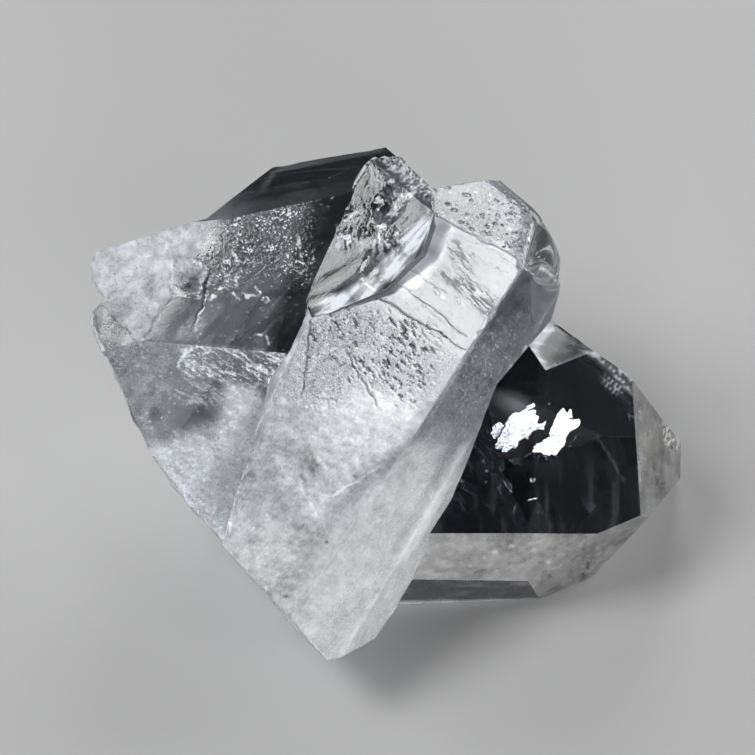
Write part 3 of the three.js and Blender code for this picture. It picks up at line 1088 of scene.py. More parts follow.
def hidden_side(points, x, y):
    """The sides that the picture doesn't show: milky quartz with broken shells and clearer veils."""
    veils = smooth(layered(points, 14.0, 182, 4), -0.5, 0.7)
    look = Look(points, milk=0.42, rough=0.08, shade=1.0, speck=0.04, fibre=0.12)
    look.add(veils, milk=0.36, rough=0.12)
    shells = layered(points, 6.0, 183, 2)
    ripples = np.sin(6 * layered(points, 7.0, 187, 2) + points[:, 2] * 0.5)
    look.height += 0.2 * growth_steps(points, 181) + 0.3 * shells + 0.1 * ripples * smooth(shells, -0.2, 0.6)
    look.milk += 0.06 * layered(points, 2.4, 184, 3)
    bare = 1 - smooth(layered(points, 9.0, 185, 3), -0.7, -0.1)
    u, v = points[:, 0] + 0.6 * points[:, 1], points[:, 2] + 0.3 * points[:, 1]
    pits = bare * marks(u, v, 2.6, 186, 0.4, pit)
    look.add(pits, height=-0.2, shade=-0.2)
    return look


# ------------------------------------------------------------------ facets
# How far apart the points are where the picture shows nothing fine, in millimetres.
COARSE = 0.95

# Each kind of facet: its outward heading and rise, its look, and the spacing of its points in
# millimetres, in the detailed zone and elsewhere. A single spacing holds everywhere, and a row
# without one is coarse.
FACETS = {
    "middle_left": (-129, 55, faded(middle_left, middle_right), 0.2, 0.32),
    "middle_right": (-59, 23, faded(middle_right, middle_left), 0.3, 0.4),
    "middle_right_low": (-40, 0, faded(middle_right, middle_left), 0.45),
    "middle_side": (-24, -16, hidden_side),
    "middle_low_side": (-25, -22, hidden_side),
    "middle_shoulder": (180, 39, hidden_side),
    "hollow_upper": (-34, -23, glassy_side),
    "hollow_lower": (-18, -12, glassy_side),
    "middle_tip": (71, 83, middle_tip, 0.2),
    "middle_tip_right": (-5, 42, middle_cap, 0.22),
    "middle_tip_side": (21, 9, glassy_side, 0.6),
    "middle_tip_low": (-6, -10, glassy_side, 0.6),
    "middle_tip_round": (39, 21, middle_cap, 0.6),
    "left_front": (-100, 55, left_face, 0.2, 0.33),
    "left_upper": (129, 70, smooth_dark, 0.6),
    "left_end": (-120, 59, left_face, 0.3),
    "left_low": (-99, 38, left_low, 0.22, 0.36),
    "left_crest": (99, 29, glassy_side),
    "left_step": (139, 15, glassy_side),
    "left_cut": (35, 23, glassy_side),
    "end_upper": (110, 36, glassy_side),
    "stub_upper": (-158, 50, stub, 0.19),
    "stub_top": (160, 77, stub, 0.19),
    "stub_low": (-132, 46, stub, 0.19),
    "stub_wall_low": (-71, -27, stub_wall, 0.4),
    "stub_wall_middle": (-47, -18, stub_wall, 0.4),
    "stub_wall_right": (-20, -3, stub_wall, 0.4),
    "right_front": (-63, 38, clear_face, 0.45),
    "right_front_left": (-74, 41, clear_face, 0.45),
    "right_front_top": (-63, 44, right_quad, 0.3),
    "right_below": (-76, 3, right_band, 0.45),
    "right_below_left": (-82, 3, right_band, 0.45),
    "right_corner": (-63, -14, right_edge, 0.4),
    "right_foot": (-87, -21, right_foot, 0.5),
    "right_tip": (-22, 22, right_edge, 0.45),
    "right_top": (48, 23, glassy_side, 0.7),
    "right_tip_top": (51, 29, glassy_side, 0.7),
    "right_tip_end": (-2, 2, right_edge),
    "right_tip_low": (-36, -22, right_edge),
    "right_back": (111, -33, clear_back),
    "right_back_top": (84, 3, clear_back),
    "rest": (0, -90, base_cut, 2.5),
}

# Kinds that aren't told apart by their direction, with their look and spacing.
OTHERS = {
    "chip": (chip, 0.3),
    "broken": (hidden_side, 0.8),
    "sliver": (left_face,),
}


def with_spacings(look, fine=COARSE, wide=None):
    """A look and the spacing of its points, in the detailed zone and elsewhere."""
    return look, fine, wide or fine


KINDS = {name: with_spacings(*row) for name, row in OTHERS.items()}
KINDS |= {name: with_spacings(*row[2:]) for name, row in FACETS.items()}
DIRECTIONS = {name: direction(*row[:2]) for name, row in FACETS.items()}
SAME_WAY = math.cos(math.radians(0.3))

# The part of the picture where marks are finest, as x and y limits in pixels.
DETAILED = ((170, 150), (560, 408))

# The balls that the shell-shaped breaks follow, as centre and radius.
SHELLS = (
    ((-3.4, 3.3, 61.5), 10.0),
    ((-2.5, 14.2, 64.4), 8.0),
    ((1.9, 20.3, 65.8), 6.0),
    ((27.8, 4.4, 58.3), 5.0),
    ((50.6, 5.4, 19.6), 4.4),
    ((-30.3, 8.0, 54.1), 9.0),
)

# A facet on a shell is this near to its ball, in millimetres.
ON_SHELL = 0.3

# A facet narrower than about twice this, in millimetres, has no relief or worn edges of its own.
SLIVER = 0.03

# Corners closer than WELD, in metres, are one. Facets that turn by less than FLAT are one.
WELD = 2e-6
FLAT = math.radians(0.2)

# The grid inside a facet, in steps: the space between its rows, how far a point strays, and how
# far the grid stays from the facet's sides.
ROW = 0.866
STRAY = 0.25
MARGIN = 0.55


def facet_name(face, normal, middle):
    """The kind of a facet, from its size, its outward direction and its middle."""
    if face.calc_area() / face.calc_perimeter() < SLIVER * MM:
        return "sliver"
    for name, way in DIRECTIONS.items():
        if normal @ way > SAME_WAY:
            return name
    for centre, radius in SHELLS:
        if abs(np.linalg.norm(middle - centre) - radius) < ON_SHELL:
            return "chip"
    return "broken"


def inside(points, outline):
    """Which 2-D points lie inside an outline, and how far each is from it."""
    x, y = points[:, 0], points[:, 1]
    odd = np.zeros(len(points), bool)
    nearest = np.full(len(points), np.inf)
    for (x0, y0), (x1, y1) in zip(outline, np.roll(outline, -1, axis=0)):
        crosses = (y0 > y) != (y1 > y)
        with np.errstate(divide="ignore", invalid="ignore"):
            reach = (x1 - x0) * (y - y0) / (y1 - y0) + x0
        odd ^= crosses & (x < reach)
        run = np.array([x1 - x0, y1 - y0])
        share = np.clip(((x - x0) * run[0] + (y - y0) * run[1]) / max(run @ run, 1e-12), 0, 1)
        nearest = np.minimum(nearest, np.hypot(x - x0 - share * run[0], y - y0 - share * run[1]))
    return odd, nearest


def grid_inside(outline, step, seed):
    """Points of a slightly uneven triangular grid inside an outline, clear of its sides."""
    low, high = outline.min(0), outline.max(0)
    rows = np.arange(low[1], high[1], step * ROW)
    columns = np.arange(low[0], high[0], step)
    grid = np.array([(c + (r % 2) * step / 2, y) for r, y in enumerate(rows) for c in columns])
    if not len(grid):
        return grid
    count = np.arange(len(grid))
    jitter = [scatter(count, np.full(len(grid), seed), seed=s) - 0.5 for s in (1, 2)]
    grid = grid + STRAY * step * np.stack(jitter, axis=1)
    within, gap = inside(grid, outline)
    return grid[within & (gap > MARGIN * step)]


def detailed(points):
    """Whether each point lies where the marks are finest."""
    x, y = seen(points)
    (left, top), (right, bottom) = DETAILED
    return (x > left) & (x < right) & (y > top) & (y < bottom)


class Surface:
    """The CAD solid's skin, cut into even small triangles that follow its facets."""

    def __init__(self, mesh):
        self.triangles = []
        self.owner = []
        solid = bmesh.new()
        solid.from_mesh(mesh)
        bmesh.ops.remove_doubles(solid, verts=solid.verts, dist=WELD)
        bmesh.ops.dissolve_limit(solid, angle_limit=FLAT, verts=solid.verts, edges=solid.edges)
        solid.verts.index_update()
        solid.edges.index_update()
        self.points = [np.array(vertex.co) / MM for vertex in solid.verts]
        self.normals = np.array([face.normal for face in solid.faces])
        corners = [[self.points[vertex.index] for vertex in face.verts] for face in solid.faces]
        self.middles = np.array([np.mean(points, axis=0) for points in corners])
        self.kinds = [facet_name(*row) for row in zip(solid.faces, self.normals, self.middles)]
        along = {edge.index: self.split(edge) for edge in solid.edges}
        for number, face in enumerate(solid.faces):
            self.fill(number, face, along)
        solid.free()
        self.points = np.array(self.points)
        self.triangles = np.array(self.triangles)
        self.owner = np.array(self.owner)
        # self.kinds holds the kind of each facet, and self.kind_of that of each triangle.
        self.kinds = np.array(self.kinds)
        self.kind_of = self.kinds[self.owner]

    def spacing(self, number, middle):
        """The space between a facet's points around one place on it."""
        fine, wide = KINDS[self.kinds[number]][1:]
        return fine if detailed(np.array([middle]))[0] else wide

    def split(self, edge):
        """The numbers of the points along an edge, from its first end to its second."""
        first, last = edge.verts
        start, end = self.points[first.index], self.points[last.index]
        step = min(self.spacing(face.index, (start + end) / 2) for face in edge.link_faces)
        pieces = max(1, round(edge.calc_length() / MM / step))
        numbers = [first.index]
        for piece in range(1, pieces):
            numbers.append(len(self.points))
            self.points.append(start + (end - start) * piece / pieces)
        numbers.append(last.index)
        return numbers

    def fill(self, number, face, along):
        """Cuts one facet into triangles, from its edges' points and a grid inside it."""
        normal, middle = self.normals[number], self.middles[number]
        across = unit(np.cross(normal, [0.3, 0.2, 0.93]))
        ahead = np.cross(normal, across)

        def flat(numbers):
            offsets = [self.points[i] - middle for i in numbers]
            return np.array([(offset @ across, offset @ ahead) for offset in offsets])

        loop = []
        corners = []
        for corner in face.loops:
            numbers = along[corner.edge.index]
            if numbers[0] != corner.vert.index:
                numbers = numbers[::-1]
            loop += numbers[:-1]
            corners.append(corner.vert.index)
        grids = []
        for step, wanted in zip(KINDS[self.kinds[number]][1:], (True, False)):
            grid = grid_inside(flat(corners), step, number)
            if len(grid):
                places = middle + grid[:, :1] * across + grid[:, 1:] * ahead
                grids.append(grid[detailed(places) == wanted])
        grid = np.concatenate(grids) if grids else np.zeros((0, 2))
        numbers = list(loop)
        for spot in grid:
            numbers.append(len(self.points))
            self.points.append(middle + across * spot[0] + ahead * spot[1])
        spots = [Vector(spot) for spot in (*flat(loop), *grid)]
        triangles, origin = delaunay_2d_cdt(spots, [], [list(range(len(loop)))], 1, 1e-7)[2:4]
        for triangle in triangles:
            for turn in range(1, len(triangle) - 1):
                corner = [triangle[0], triangle[turn], triangle[turn + 1]]
                self.triangles.append([numbers[origin[c][0]] for c in corner])
                self.owner.append(number)


# Facets that turn by more than SHARP's angle meet in an edge that wears. It stays sharp in the
# shading while it stands at more than CREASE.
SHARP = math.cos(math.radians(16))
CREASE = math.radians(15)


def facet_groups(surface):
    """For each kind of facet: its name, the points it covers and their outward directions."""
    for kind in sorted(set(surface.kind_of)):
        chosen = surface.kind_of == kind
        corners = surface.triangles[chosen]
        normals = np.zeros_like(surface.points)
        for column in range(3):
            np.add.at(normals, corners[:, column], surface.normals[surface.owner[chosen]])
        numbers = np.unique(corners)
        outward = normals[numbers]
        outward /= np.linalg.norm(outward, axis=1)[:, None]
        yield kind, numbers, outward


def sharp_edges(surface):
    """Pairs of points where two facets meet at an angle, with the facets on each side of them.

    The pairs along slivers, which may be creased but aren't worn, come last.
    """
    owners = {}
    for triangle, owner in zip(surface.triangles, surface.owner):
        for a, b in zip(triangle, np.roll(triangle, -1)):
            owners.setdefault((min(a, b), max(a, b)), []).append(owner)
    pairs, sides, slits = [], [], []
    for pair, (first, second) in owners.items():
        names = {surface.kinds[first], surface.kinds[second]}
        levelled_rim = "chip" in names and names & {"left_front", "left_end", "middle_tip_right"}
        if "sliver" in names:
            slits.append(pair)
        if first == second or "sliver" in names or levelled_rim:
            continue
        if surface.normals[first] @ surface.normals[second] < SHARP:
            pairs.append(pair)
            sides.append((first, second))
    return np.array(pairs), np.array(sides), slits


def nearest(points, chosen, limit):
    """For each point, how far the nearest of the chosen ones is, up to the limit, and its place."""
    tree = KDTree(len(chosen))
    for place, number in enumerate(chosen):
        tree.insert(points[number], place)
    tree.balance()
    found = [tree.find(point) for point in points]
    return np.array([min(f[2], limit) for f in found]), np.array([f[1] for f in found])


def rounding(surface, first, second, reach):
    """How far points move to round the edge between two kinds of facet, reach each way."""
    beside = np.isin(surface.kind_of, (second, "sliver"))
    shared = np.intersect1d(surface.triangles[surface.kind_of == first], surface.triangles[beside])
    if not len(shared):
        return np.zeros_like(surface.points)
    halfway = DIRECTIONS[first] + DIRECTIONS[second]
    lean = math.sqrt(1 - (halfway @ halfway) / 4)
    gap = nearest(surface.points, shared, reach)[0]
    depth = lean * (reach - gap) ** 2 / (2 * reach)
    return -depth[:, None] * halfway / np.linalg.norm(halfway)


# Edges of the middle crystal's rounded tip, and how far their rounding reaches.
TIP_EDGES = (
    ("middle_tip", "middle_tip_right", 3.5),
    ("middle_tip", "middle_tip_round", 3.0),
    ("middle_tip_right", "middle_tip_round", 3.0),
    ("middle_tip_right", "middle_tip_side", 3.0),
    ("middle_tip_round", "middle_tip_side", 3.0),
)


# Where the ridge and the shoulder start to round off, down the picture.
ROUND_RIDGE_LIMIT = (430, 540)
ROUND_SHOULDER_LIMIT = (330, 440)


def rounded(surface):
    """The long ridge dies out in the milky lower end, and the tip is rounded."""
    y = seen(surface.points)[1]
    ridge, shoulder = smooth(y, *ROUND_RIDGE_LIMIT), smooth(y, *ROUND_SHOULDER_LIMIT)
    move = ridge[:, None] * rounding(surface, "middle_left", "middle_right", 7.0)
    move += shoulder[:, None] * rounding(surface, "middle_shoulder", "middle_left", 2.5)
    move += rounding(surface, "left_end", "left_front", 5.0)
    for first, second, reach in TIP_EDGES:
        move += rounding(surface, first, second, reach)
    return move


# How far wear reaches from an edge, in millimetres: on the clear crystal, on the other seen edges,
# on the broken lower left outline and on hidden edges.
CRISP = 0.12
WORN = 0.32
RAGGED = 0.9
BROKEN = 0.9

# Further from an edge than any wear reaches, in millimetres.
UNWORN = 9.0


def wear_reach(surface, first, second):
    """How far wear reaches from the edges between first and second facets."""
    crisp = np.array([name.startswith("right_") or name == "rest" for name in surface.kinds])
    plain = np.array([KINDS[name][0] is hidden_side for name in surface.kinds])
    outer = np.isin(surface.kinds, ("left_low", "middle_left"))
    wear = np.where(plain[first] & plain[second], BROKEN, WORN)
    wear = np.where((plain[first] & outer[second]) | (plain[second] & outer[first]), RAGGED, wear)
    return np.where(crisp[first] | crisp[second], CRISP, wear)


def worn(surface, edges, sides):
    """How far wear moves the points near outward edges, and how white it leaves them."""
    normals, middles = surface.normals, surface.middles
    first, second = sides.T
    outward = ((middles[second] - middles[first]) * normals[first]).sum(1) < 0
    pairs, first, second = edges[outward], first[outward], second[outward]
    numbers = np.unique(pairs)
    halfway = np.zeros_like(surface.points)
    count = np.zeros(len(surface.points))
    reach = np.zeros(len(surface.points))
    wear = wear_reach(surface, first, second)
    for column in range(2):
        np.add.at(halfway, pairs[:, column], (normals[first] + normals[second]) / 2)
        np.add.at(count, pairs[:, column], 1)
        np.add.at(reach, pairs[:, column], wear)
    halfway = halfway[numbers] / count[numbers][:, None]
    reach = reach[numbers] / count[numbers]
    lean = np.sqrt(np.clip(1 - (halfway**2).sum(1), 0, 1))
    halfway /= np.linalg.norm(halfway, axis=1)[:, None]
    gap, place = nearest(surface.points, numbers, UNWORN)
    nick = smooth(noise(surface.points, 1.8, 191) + 0.5 * noise(surface.points, 0.7, 192), 0.2, 0.85)
    reach = reach[place]
    soft = (reach > 2 * CRISP).astype(float)
    reach = reach * (1 + 1.8 * nick * soft)
    depth = lean[place] * np.maximum(reach - gap, 0) ** 2 / (2 * reach)
    x, y = seen(surface.points)
    ridge = line(x, y, *RIDGE, RIDGE_WIDTH)
    white = soft * (0.08 + 0.3 * nick) * (1 - smooth(gap, 0.1, 0.7)) * (1 - ridge)
    return -depth[:, None] * halfway[place], white


# Two of the shell breaks, by where they lie across the picture, and the facets they bite into. They
# are at most LEVEL_DEPTH millimetres deep.
LEVEL_DEPTH = 2.0
LEVELLED = (
    ((0, 250), ("left_front", "left_end")),
    ((500, 600), ("middle_tip_right", "middle_tip_side", "middle_tip_low", "middle_right", "middle_side")),
)


def levelled(surface):
    """How far the points in those shell breaks move out to lie on the facets' planes again."""
    numbers = np.unique(surface.triangles[surface.kind_of == "chip"])
    x = seen(surface.points[numbers])[0]
    move = np.zeros_like(surface.points)
    for (low, high), names in LEVELLED:
        there = numbers[(x > low) & (x < high)]
        points = surface.points[there]
        middle = points.mean(axis=0)
        depth = np.full(len(there), LEVEL_DEPTH)
        way = np.zeros((len(there), 3))
        for name, normal, spot in zip(surface.kinds, surface.normals, surface.middles):
            if name in names and abs((spot - middle) @ normal) < LEVEL_DEPTH:
                under = (spot - points) @ normal
                lower = under < depth
                depth[lower] = under[lower]
                way[lower] = normal
        move[there] += np.clip(depth, 0, LEVEL_DEPTH)[:, None] * way
    return move


# Points lower than this, in millimetres, stay where they are on the flat cut.
ON_CUT = 0.01


def dress(surface):
    """Moves the points as the looks say, wears the edges, and returns what the material needs.

    The values are for each corner of each triangle, so that they change sharply from facet to facet.
    """
    count = len(surface.points)
    move = np.zeros((count, 3))
    total = np.zeros(count)
    names = Look.NAMES[1:]
    corners = {name: np.zeros(surface.triangles.shape) for name in names}
    edges, sides, slits = sharp_edges(surface)
    wear, white = worn(surface, edges, sides)
    for kind, numbers, normals in facet_groups(surface):
        points = surface.points[numbers]
        x, y = seen(points)
        look = KINDS[kind][0](points, x, y)
        if kind != "sliver":
            move[numbers] += normals * look.height[:, None]
            total[numbers] += 1
        chosen = surface.kind_of == kind
        look.milk += white[numbers]
        for name in names:
            whole = np.zeros(count)
            whole[numbers] = np.clip(getattr(look, name), 0, 1)
            corners[name][chosen] = whole[surface.triangles[chosen]]
    move /= np.maximum(total, 1)[:, None]
    move += wear + rounded(surface) + levelled(surface)
    move[surface.points[:, 2] < ON_CUT] = 0
    surface.points = surface.points + move
    surface.points[:, 2] = np.maximum(surface.points[:, 2], 0)
    return corners, slits + list(edges)


# ------------------------------------------------------------------ materials
# Lengths in the materials are in metres, as the meshes are.
QUARTZ_IOR = 1.544
MILK_COOL = (0.85, 0.88, 0.945, 1)
MILK_WARM = (0.88, 0.865, 0.84, 1)
MILK_DARK = (0.045, 0.047, 0.05, 1)

# What a metre of quartz takes from the light, and how tinted it is.
ABSORPTION = {"Color": (0.78, 0.79, 0.80, 1), "Density": 110.0}

# The milk's cloudy lumps, the fine grain of its frost and dust, and how deep that grain is.
MOTTLE = 0.0011
DUST = 0.0003
GRAIN_DEPTH = 0.00009

# Fine hairs in the milk, in two directions: their way, length, width and thinness. They all bend
# by up to about HAIR_BEND, over HAIR_SWAY.
HAIR_BEND = 0.0012
HAIR_SWAY = 0.002
HAIRS_ALONG = ((0.70, 0.54, 0.46), 0.0040, 0.00055, 0.10)
HAIRS_DOWN = ((-0.35, 0.72, 0.60), 0.0030, 0.00060, 0.09)


class Value:
    """A number or colour from a material's nodes. Arithmetic on numbers adds Math nodes."""

    def __init__(self, material, socket):
        self.material = material
        self.socket = socket

    def __add__(self, other):
        return self.material.math("ADD", self, other)

    def __sub__(self, other):
        return self.material.math("SUBTRACT", self, other)

    def __mul__(self, other):
        return self.material.math("MULTIPLY", self, other)


class Material:
    """A material with one Principled shader, and what makes its patterns."""

    def __init__(self, name, **inputs):
        self.data = bpy.data.materials.new(name)
        self.data.use_nodes = True
        self.data.node_tree.nodes.clear()
        self.output = self.node("ShaderNodeOutputMaterial")
        self.shader = self.node("ShaderNodeBsdfPrincipled")
        self.put(self.value(self.shader), self.output.inputs["Surface"])
        self.set(**inputs)

    def node(self, kind, **settings):
        """Adds a node, and sets its inputs or its own settings by name."""
        made = self.data.node_tree.nodes.new(kind)
        for name, value in settings.items():
            if name in made.inputs:
                made.inputs[name].default_value = value
            else:
                setattr(made, name, value)
        return made

    def value(self, node, output=0):
        return Value(self, node.outputs[output])

    def put(self, value, socket):
        """Links a Value to an input, or sets the input to a plain number or colour."""
        if isinstance(value, Value):
            self.data.node_tree.links.new(value.socket, socket)
        else:
            socket.default_value = value

    def set(self, **inputs):
        """Puts values on the shader's inputs, whose names have _ for each space."""
        for name, value in inputs.items():
            self.put(value, self.shader.inputs[name.replace("_", " ")])

    def math(self, operation, first, second, clamp=False):
        """A Math node's result, kept from 0 to 1 where clamp says so."""
        made = self.node("ShaderNodeMath", operation=operation, use_clamp=clamp)
        self.put(first, made.inputs[0])
        self.put(second, made.inputs[1])
        return self.value(made)

    def place(self):
        return self.value(self.node("ShaderNodeTexCoord"), "Object")

    def grain(self, size, detail=3.0, roughness=0.5):
        """Noise with lumps of that size, in the object's own space."""
        made = self.node("ShaderNodeTexNoise", Scale=1 / size, Detail=detail, Roughness=roughness)
        self.put(self.place(), made.inputs["Vector"])
        return self.value(made, "Fac")

    def between(self, value, low, high):
        """0 below low and 1 above high, with an even curve between them."""
        made = self.node("ShaderNodeMapRange", interpolation_type="SMOOTHSTEP")
        for name, number in (("Value", value), ("From Min", low), ("From Max", high)):
            self.put(number, made.inputs[name])
        return self.value(made)

    def mixed(self, factor, first, second):
        """A blend of two colours."""
        made = self.node("ShaderNodeMix", data_type="RGBA")
        self.put(factor, made.inputs["Factor"])
        for socket, colour in zip([i for i in made.inputs if i.type == "RGBA"], (first, second)):
            self.put(colour, socket)
        return Value(self, next(o for o in made.outputs if o.type == "RGBA"))

    def hairs(self, way, length, width, thin):
        """Hair-fine branching lines along a direction, from 0 to 1."""
        way = unit(way)
        side = unit(np.cross(way, [0.1, 0.2, 0.97]))
        place = self.place()
        bend = self.node("ShaderNodeTexNoise", Scale=1 / HAIR_SWAY, Detail=2.0)
        self.put(place, bend.inputs["Vector"])
        shift = self.node("ShaderNodeVectorMath", operation="MULTIPLY_ADD")
        for socket, value in zip(shift.inputs, (self.value(bend, "Color"), (HAIR_BEND,) * 3, place)):
            self.put(value, socket)
        parts = self.node("ShaderNodeCombineXYZ")
        for number, (axis, size) in enumerate(((way, length), (side, width), (np.cross(way, side), width))):
            part = self.node("ShaderNodeVectorMath", operation="DOT_PRODUCT")
            self.put(self.value(shift), part.inputs[0])
            self.put(tuple(axis / size), part.inputs[1])
            self.put(self.value(part, "Value"), parts.inputs[number])
        drawn = self.node("ShaderNodeTexNoise", Scale=1.0, Detail=3.0, Roughness=0.6)
        self.put(self.value(parts), drawn.inputs["Vector"])
        off = self.math("ABSOLUTE", self.value(drawn, "Fac") - 0.5, 0.0)
        return self.math("SUBTRACT", 1.0, self.between(off, 0.0, thin), clamp=True)

    def bump(self, height, distance, strength):
        """Bends the shading as a relief of that height would."""
        made = self.node("ShaderNodeBump", Distance=distance)
        self.put(height, made.inputs["Height"])
        self.put(strength, made.inputs["Strength"])
        self.set(Normal=self.value(made))


def quartz_material():
    """Clear quartz whose milky places, frost and grain follow the corners' attributes."""
    quartz = Material("quartz_surface", IOR=QUARTZ_IOR)
    attributes = [quartz.node("ShaderNodeAttribute", attribute_name=name) for name in Look.NAMES[1:]]
    milk, rough, shade, speck, fibre, warm = [quartz.value(node, "Fac") for node in attributes]
    mottle = quartz.grain(MOTTLE, 5, 0.65)
    fine = quartz.grain(DUST)
    dust = quartz.grain(DUST, 2)
    along, down = quartz.hairs(*HAIRS_ALONG), quartz.hairs(*HAIRS_DOWN)
    fibres = (along - 0.3) * 0.34 + (down - 0.25) * 0.3
    light, dark = quartz.between(dust, 0.60, 0.70), quartz.between(dust, 0.42, 0.31)
    specks = light * 0.55 - dark * 0.22
    white = milk + (mottle - 0.5) * milk * 0.4 + (fibre * fibres + speck * specks)
    pale = quartz.mixed(warm, MILK_COOL, MILK_WARM)
    lightness = quartz.math("SUBTRACT", shade, speck * dark * 0.35, clamp=True)
    quartz.set(
        Transmission_Weight=quartz.math("SUBTRACT", 1.0, white, clamp=True),
        Roughness=quartz.math("ADD", rough, (fine - 0.5) * rough, clamp=True),
        Base_Color=quartz.mixed(lightness, MILK_DARK, pale),
    )
    strength = quartz.math("MULTIPLY", rough * 0.6 + speck * 0.5, 1.0, clamp=True)
    quartz.bump(fine + dust * speck, GRAIN_DEPTH, strength)
    absorb = quartz.node("ShaderNodeVolumeAbsorption", **ABSORPTION)
    quartz.put(quartz.value(absorb), quartz.output.inputs["Volume"])
    return quartz.data


def fracture_material():
    """The faces of inner cracks: air behind quartz, so they shine."""
    fracture = Material("inner_fracture", Base_Color=(0.97, 0.98, 1.0, 1), Metallic=0.85)
    fracture.set(Roughness=fracture.grain(0.0008, 4) * 0.3)
    fracture.bump(fracture.grain(0.0005), 0.0001, 0.5)
    return fracture.data


def floor_material():
    """Pale, matt ground."""
    grey = (0.52, 0.52, 0.52, 1)
    return Material("floor_matt", Base_Color=grey, Roughness=0.9, Specular_IOR_Level=0.1).data


# ------------------------------------------------------------------ the crystal
def make_mesh(name, points, triangles, material):
    """A mesh object in the scene, from points in millimetres."""
    mesh = bpy.data.meshes.new(name)
    mesh.from_pydata([tuple(p) for p in points * MM], [], [tuple(int(i) for i in t) for t in triangles])
    mesh.materials.append(material)
    made = bpy.data.objects.new(name, mesh)
    bpy.context.scene.collection.objects.link(made)
    return made


def sharp_flags(mesh, edges):
    """Whether each edge of the mesh is one of those edges and still stands at an angle."""
    work = bmesh.new()
    work.from_mesh(mesh)
    flags = []
    for edge in work.edges:
        a, b = (vertex.index for vertex in edge.verts)
        flags.append((min(a, b), max(a, b)) in edges and edge.calc_face_angle(0) > CREASE)
    work.free()
    return flags


def make_crystal():
    """The whole cluster's skin."""
    surface = Surface(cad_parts["quartz_cluster"].data)
    values, edges = dress(surface)
    crystal = make_mesh("quartz_crystals", surface.points, surface.triangles, quartz_material())
    mesh = crystal.data
    mesh.shade_smooth()
    flags = sharp_flags(mesh, set((int(a), int(b)) for a, b in edges))
    attribute = mesh.attributes.new("sharp_edge", "BOOLEAN", "EDGE")
    attribute.data.foreach_set("value", flags)
    for name, value in values.items():
        attribute = mesh.attributes.new(name, "FLOAT", "CORNER")
        attribute.data.foreach_set("value", value.ravel().astype(np.float32))
    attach(crystal, "root")
    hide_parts("quartz_cluster")
    return surface


# ------------------------------------------------------------------ what is sealed in the crystal
def bent(way, normal, ratio):
    """A unit direction refracted at a surface; ratio is outer over inner index."""
    cosine = -way @ normal
    return ratio * way + (ratio * cosine - math.sqrt(1 - ratio**2 * (1 - cosine**2))) * normal


def place_behind(surface, facet, pixel, depth):
    """The point depth millimetres behind a facet that the camera sees at that pixel."""
    number = list(surface.kinds).index(facet)
    normal, middle = surface.normals[number], surface.middles[number]
    offset = (np.array(pixel) - PICTURE / 2) * SENSOR / (LENS * PICTURE)
    way = unit(AWAY + RIGHT * offset[0] - UP * offset[1])
    entry = EYE + way * ((middle - EYE) @ normal) / (way @ normal)
    return entry + bent(way, normal, 1 / QUARTZ_IOR) * depth


def disc_axes(normal):
    """A disc's unit normal, and its sideways and upward directions as the camera sees them."""
    normal = unit(normal)
    side = unit(np.cross(UP, normal))
    return normal, side, np.cross(normal, side)


class Flakes:
    """Thin sealed flakes, each a ragged disc with both faces slightly crowned, in one mesh."""

    def __init__(self):
        self.points = []
        self.triangles = []

    def add(self, middle, normal, long, wide, turn, seed, thick=0.015, sides=18, ragged=0.35):
        """One flake, thick millimetres from its middle plane to each face's crown."""
        normal, side, top = disc_axes(normal)
        first = len(self.points)
        angles = np.arange(sides) / sides * 2 * math.pi
        round_trip = np.stack([np.cos(angles), np.sin(angles)], 1)
        radii = 1 - ragged * (0.5 - 0.5 * layered(round_trip, 0.65, seed + 5, 4))
        across, ahead = spin(np.cos(angles) * radii * long / 2, np.sin(angles) * radii * wide / 2, -turn)
        for share, lift in ((1.0, 0.0), (0.7, thick * 0.7), (0.7, -thick * 0.7)):
            for a, b in zip(across, ahead):
                self.points.append(middle + side * a * share + top * b * share + normal * lift)
        self.points.append(middle + normal * thick)
        self.points.append(middle - normal * thick)
        upper, lower = first + 3 * sides, first + 3 * sides + 1
        for i in range(sides):
            j = (i + 1) % sides
            rim, front, back = first, first + sides, first + 2 * sides
            self.triangles += [(rim + i, rim + j, front + j), (rim + i, front + j, front + i)]
            self.triangles += [(rim + j, rim + i, back + i), (rim + j, back + i, back + j)]
            self.triangles += [(front + i, front + j, upper), (back + j, back + i, lower)]

    def add_cloud(self, middle, normal, long, wide, turn, seed, count, size):
        """Small flakes scattered round an ellipse, fewer and smaller outwards."""
        normal, side, top = disc_axes(normal)
        numbers = np.arange(count)
        picks = [scatter(numbers, np.full(count, seed), seed=seed + k) for k in range(7)]
        for i in numbers:
            reach = picks[0][i] ** 0.6
            way = picks[1][i] * 2 * math.pi
            a, b = spin(math.cos(way) * reach * long / 2, math.sin(way) * reach * wide / 2, -turn)
            tilt = side * (picks[2][i] - 0.5) * 0.3 + top * (picks[3][i] - 0.5) * 0.3
            scale = size * (0.3 + picks[4][i]) * (1.3 - reach)
            place = middle + side * a + top * b + normal * (picks[5][i] - 0.5) * 0.4
            turned_by = picks[6][i] * 180
            own_seed = seed + int(i) * 7
            self.add(place, normal + tilt, scale * 1.6, scale, turned_by, own_seed, thick=0.02, sides=9)

    def finish(self, name, material):
        """Makes one object of all the flakes."""
        made = make_mesh(name, np.array(self.points), self.triangles, material)
        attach(made, "root")


# A crack in the clear crystal that faces this way throws the front light back to the camera.
SHINING = (0.19, -0.80, 0.56)

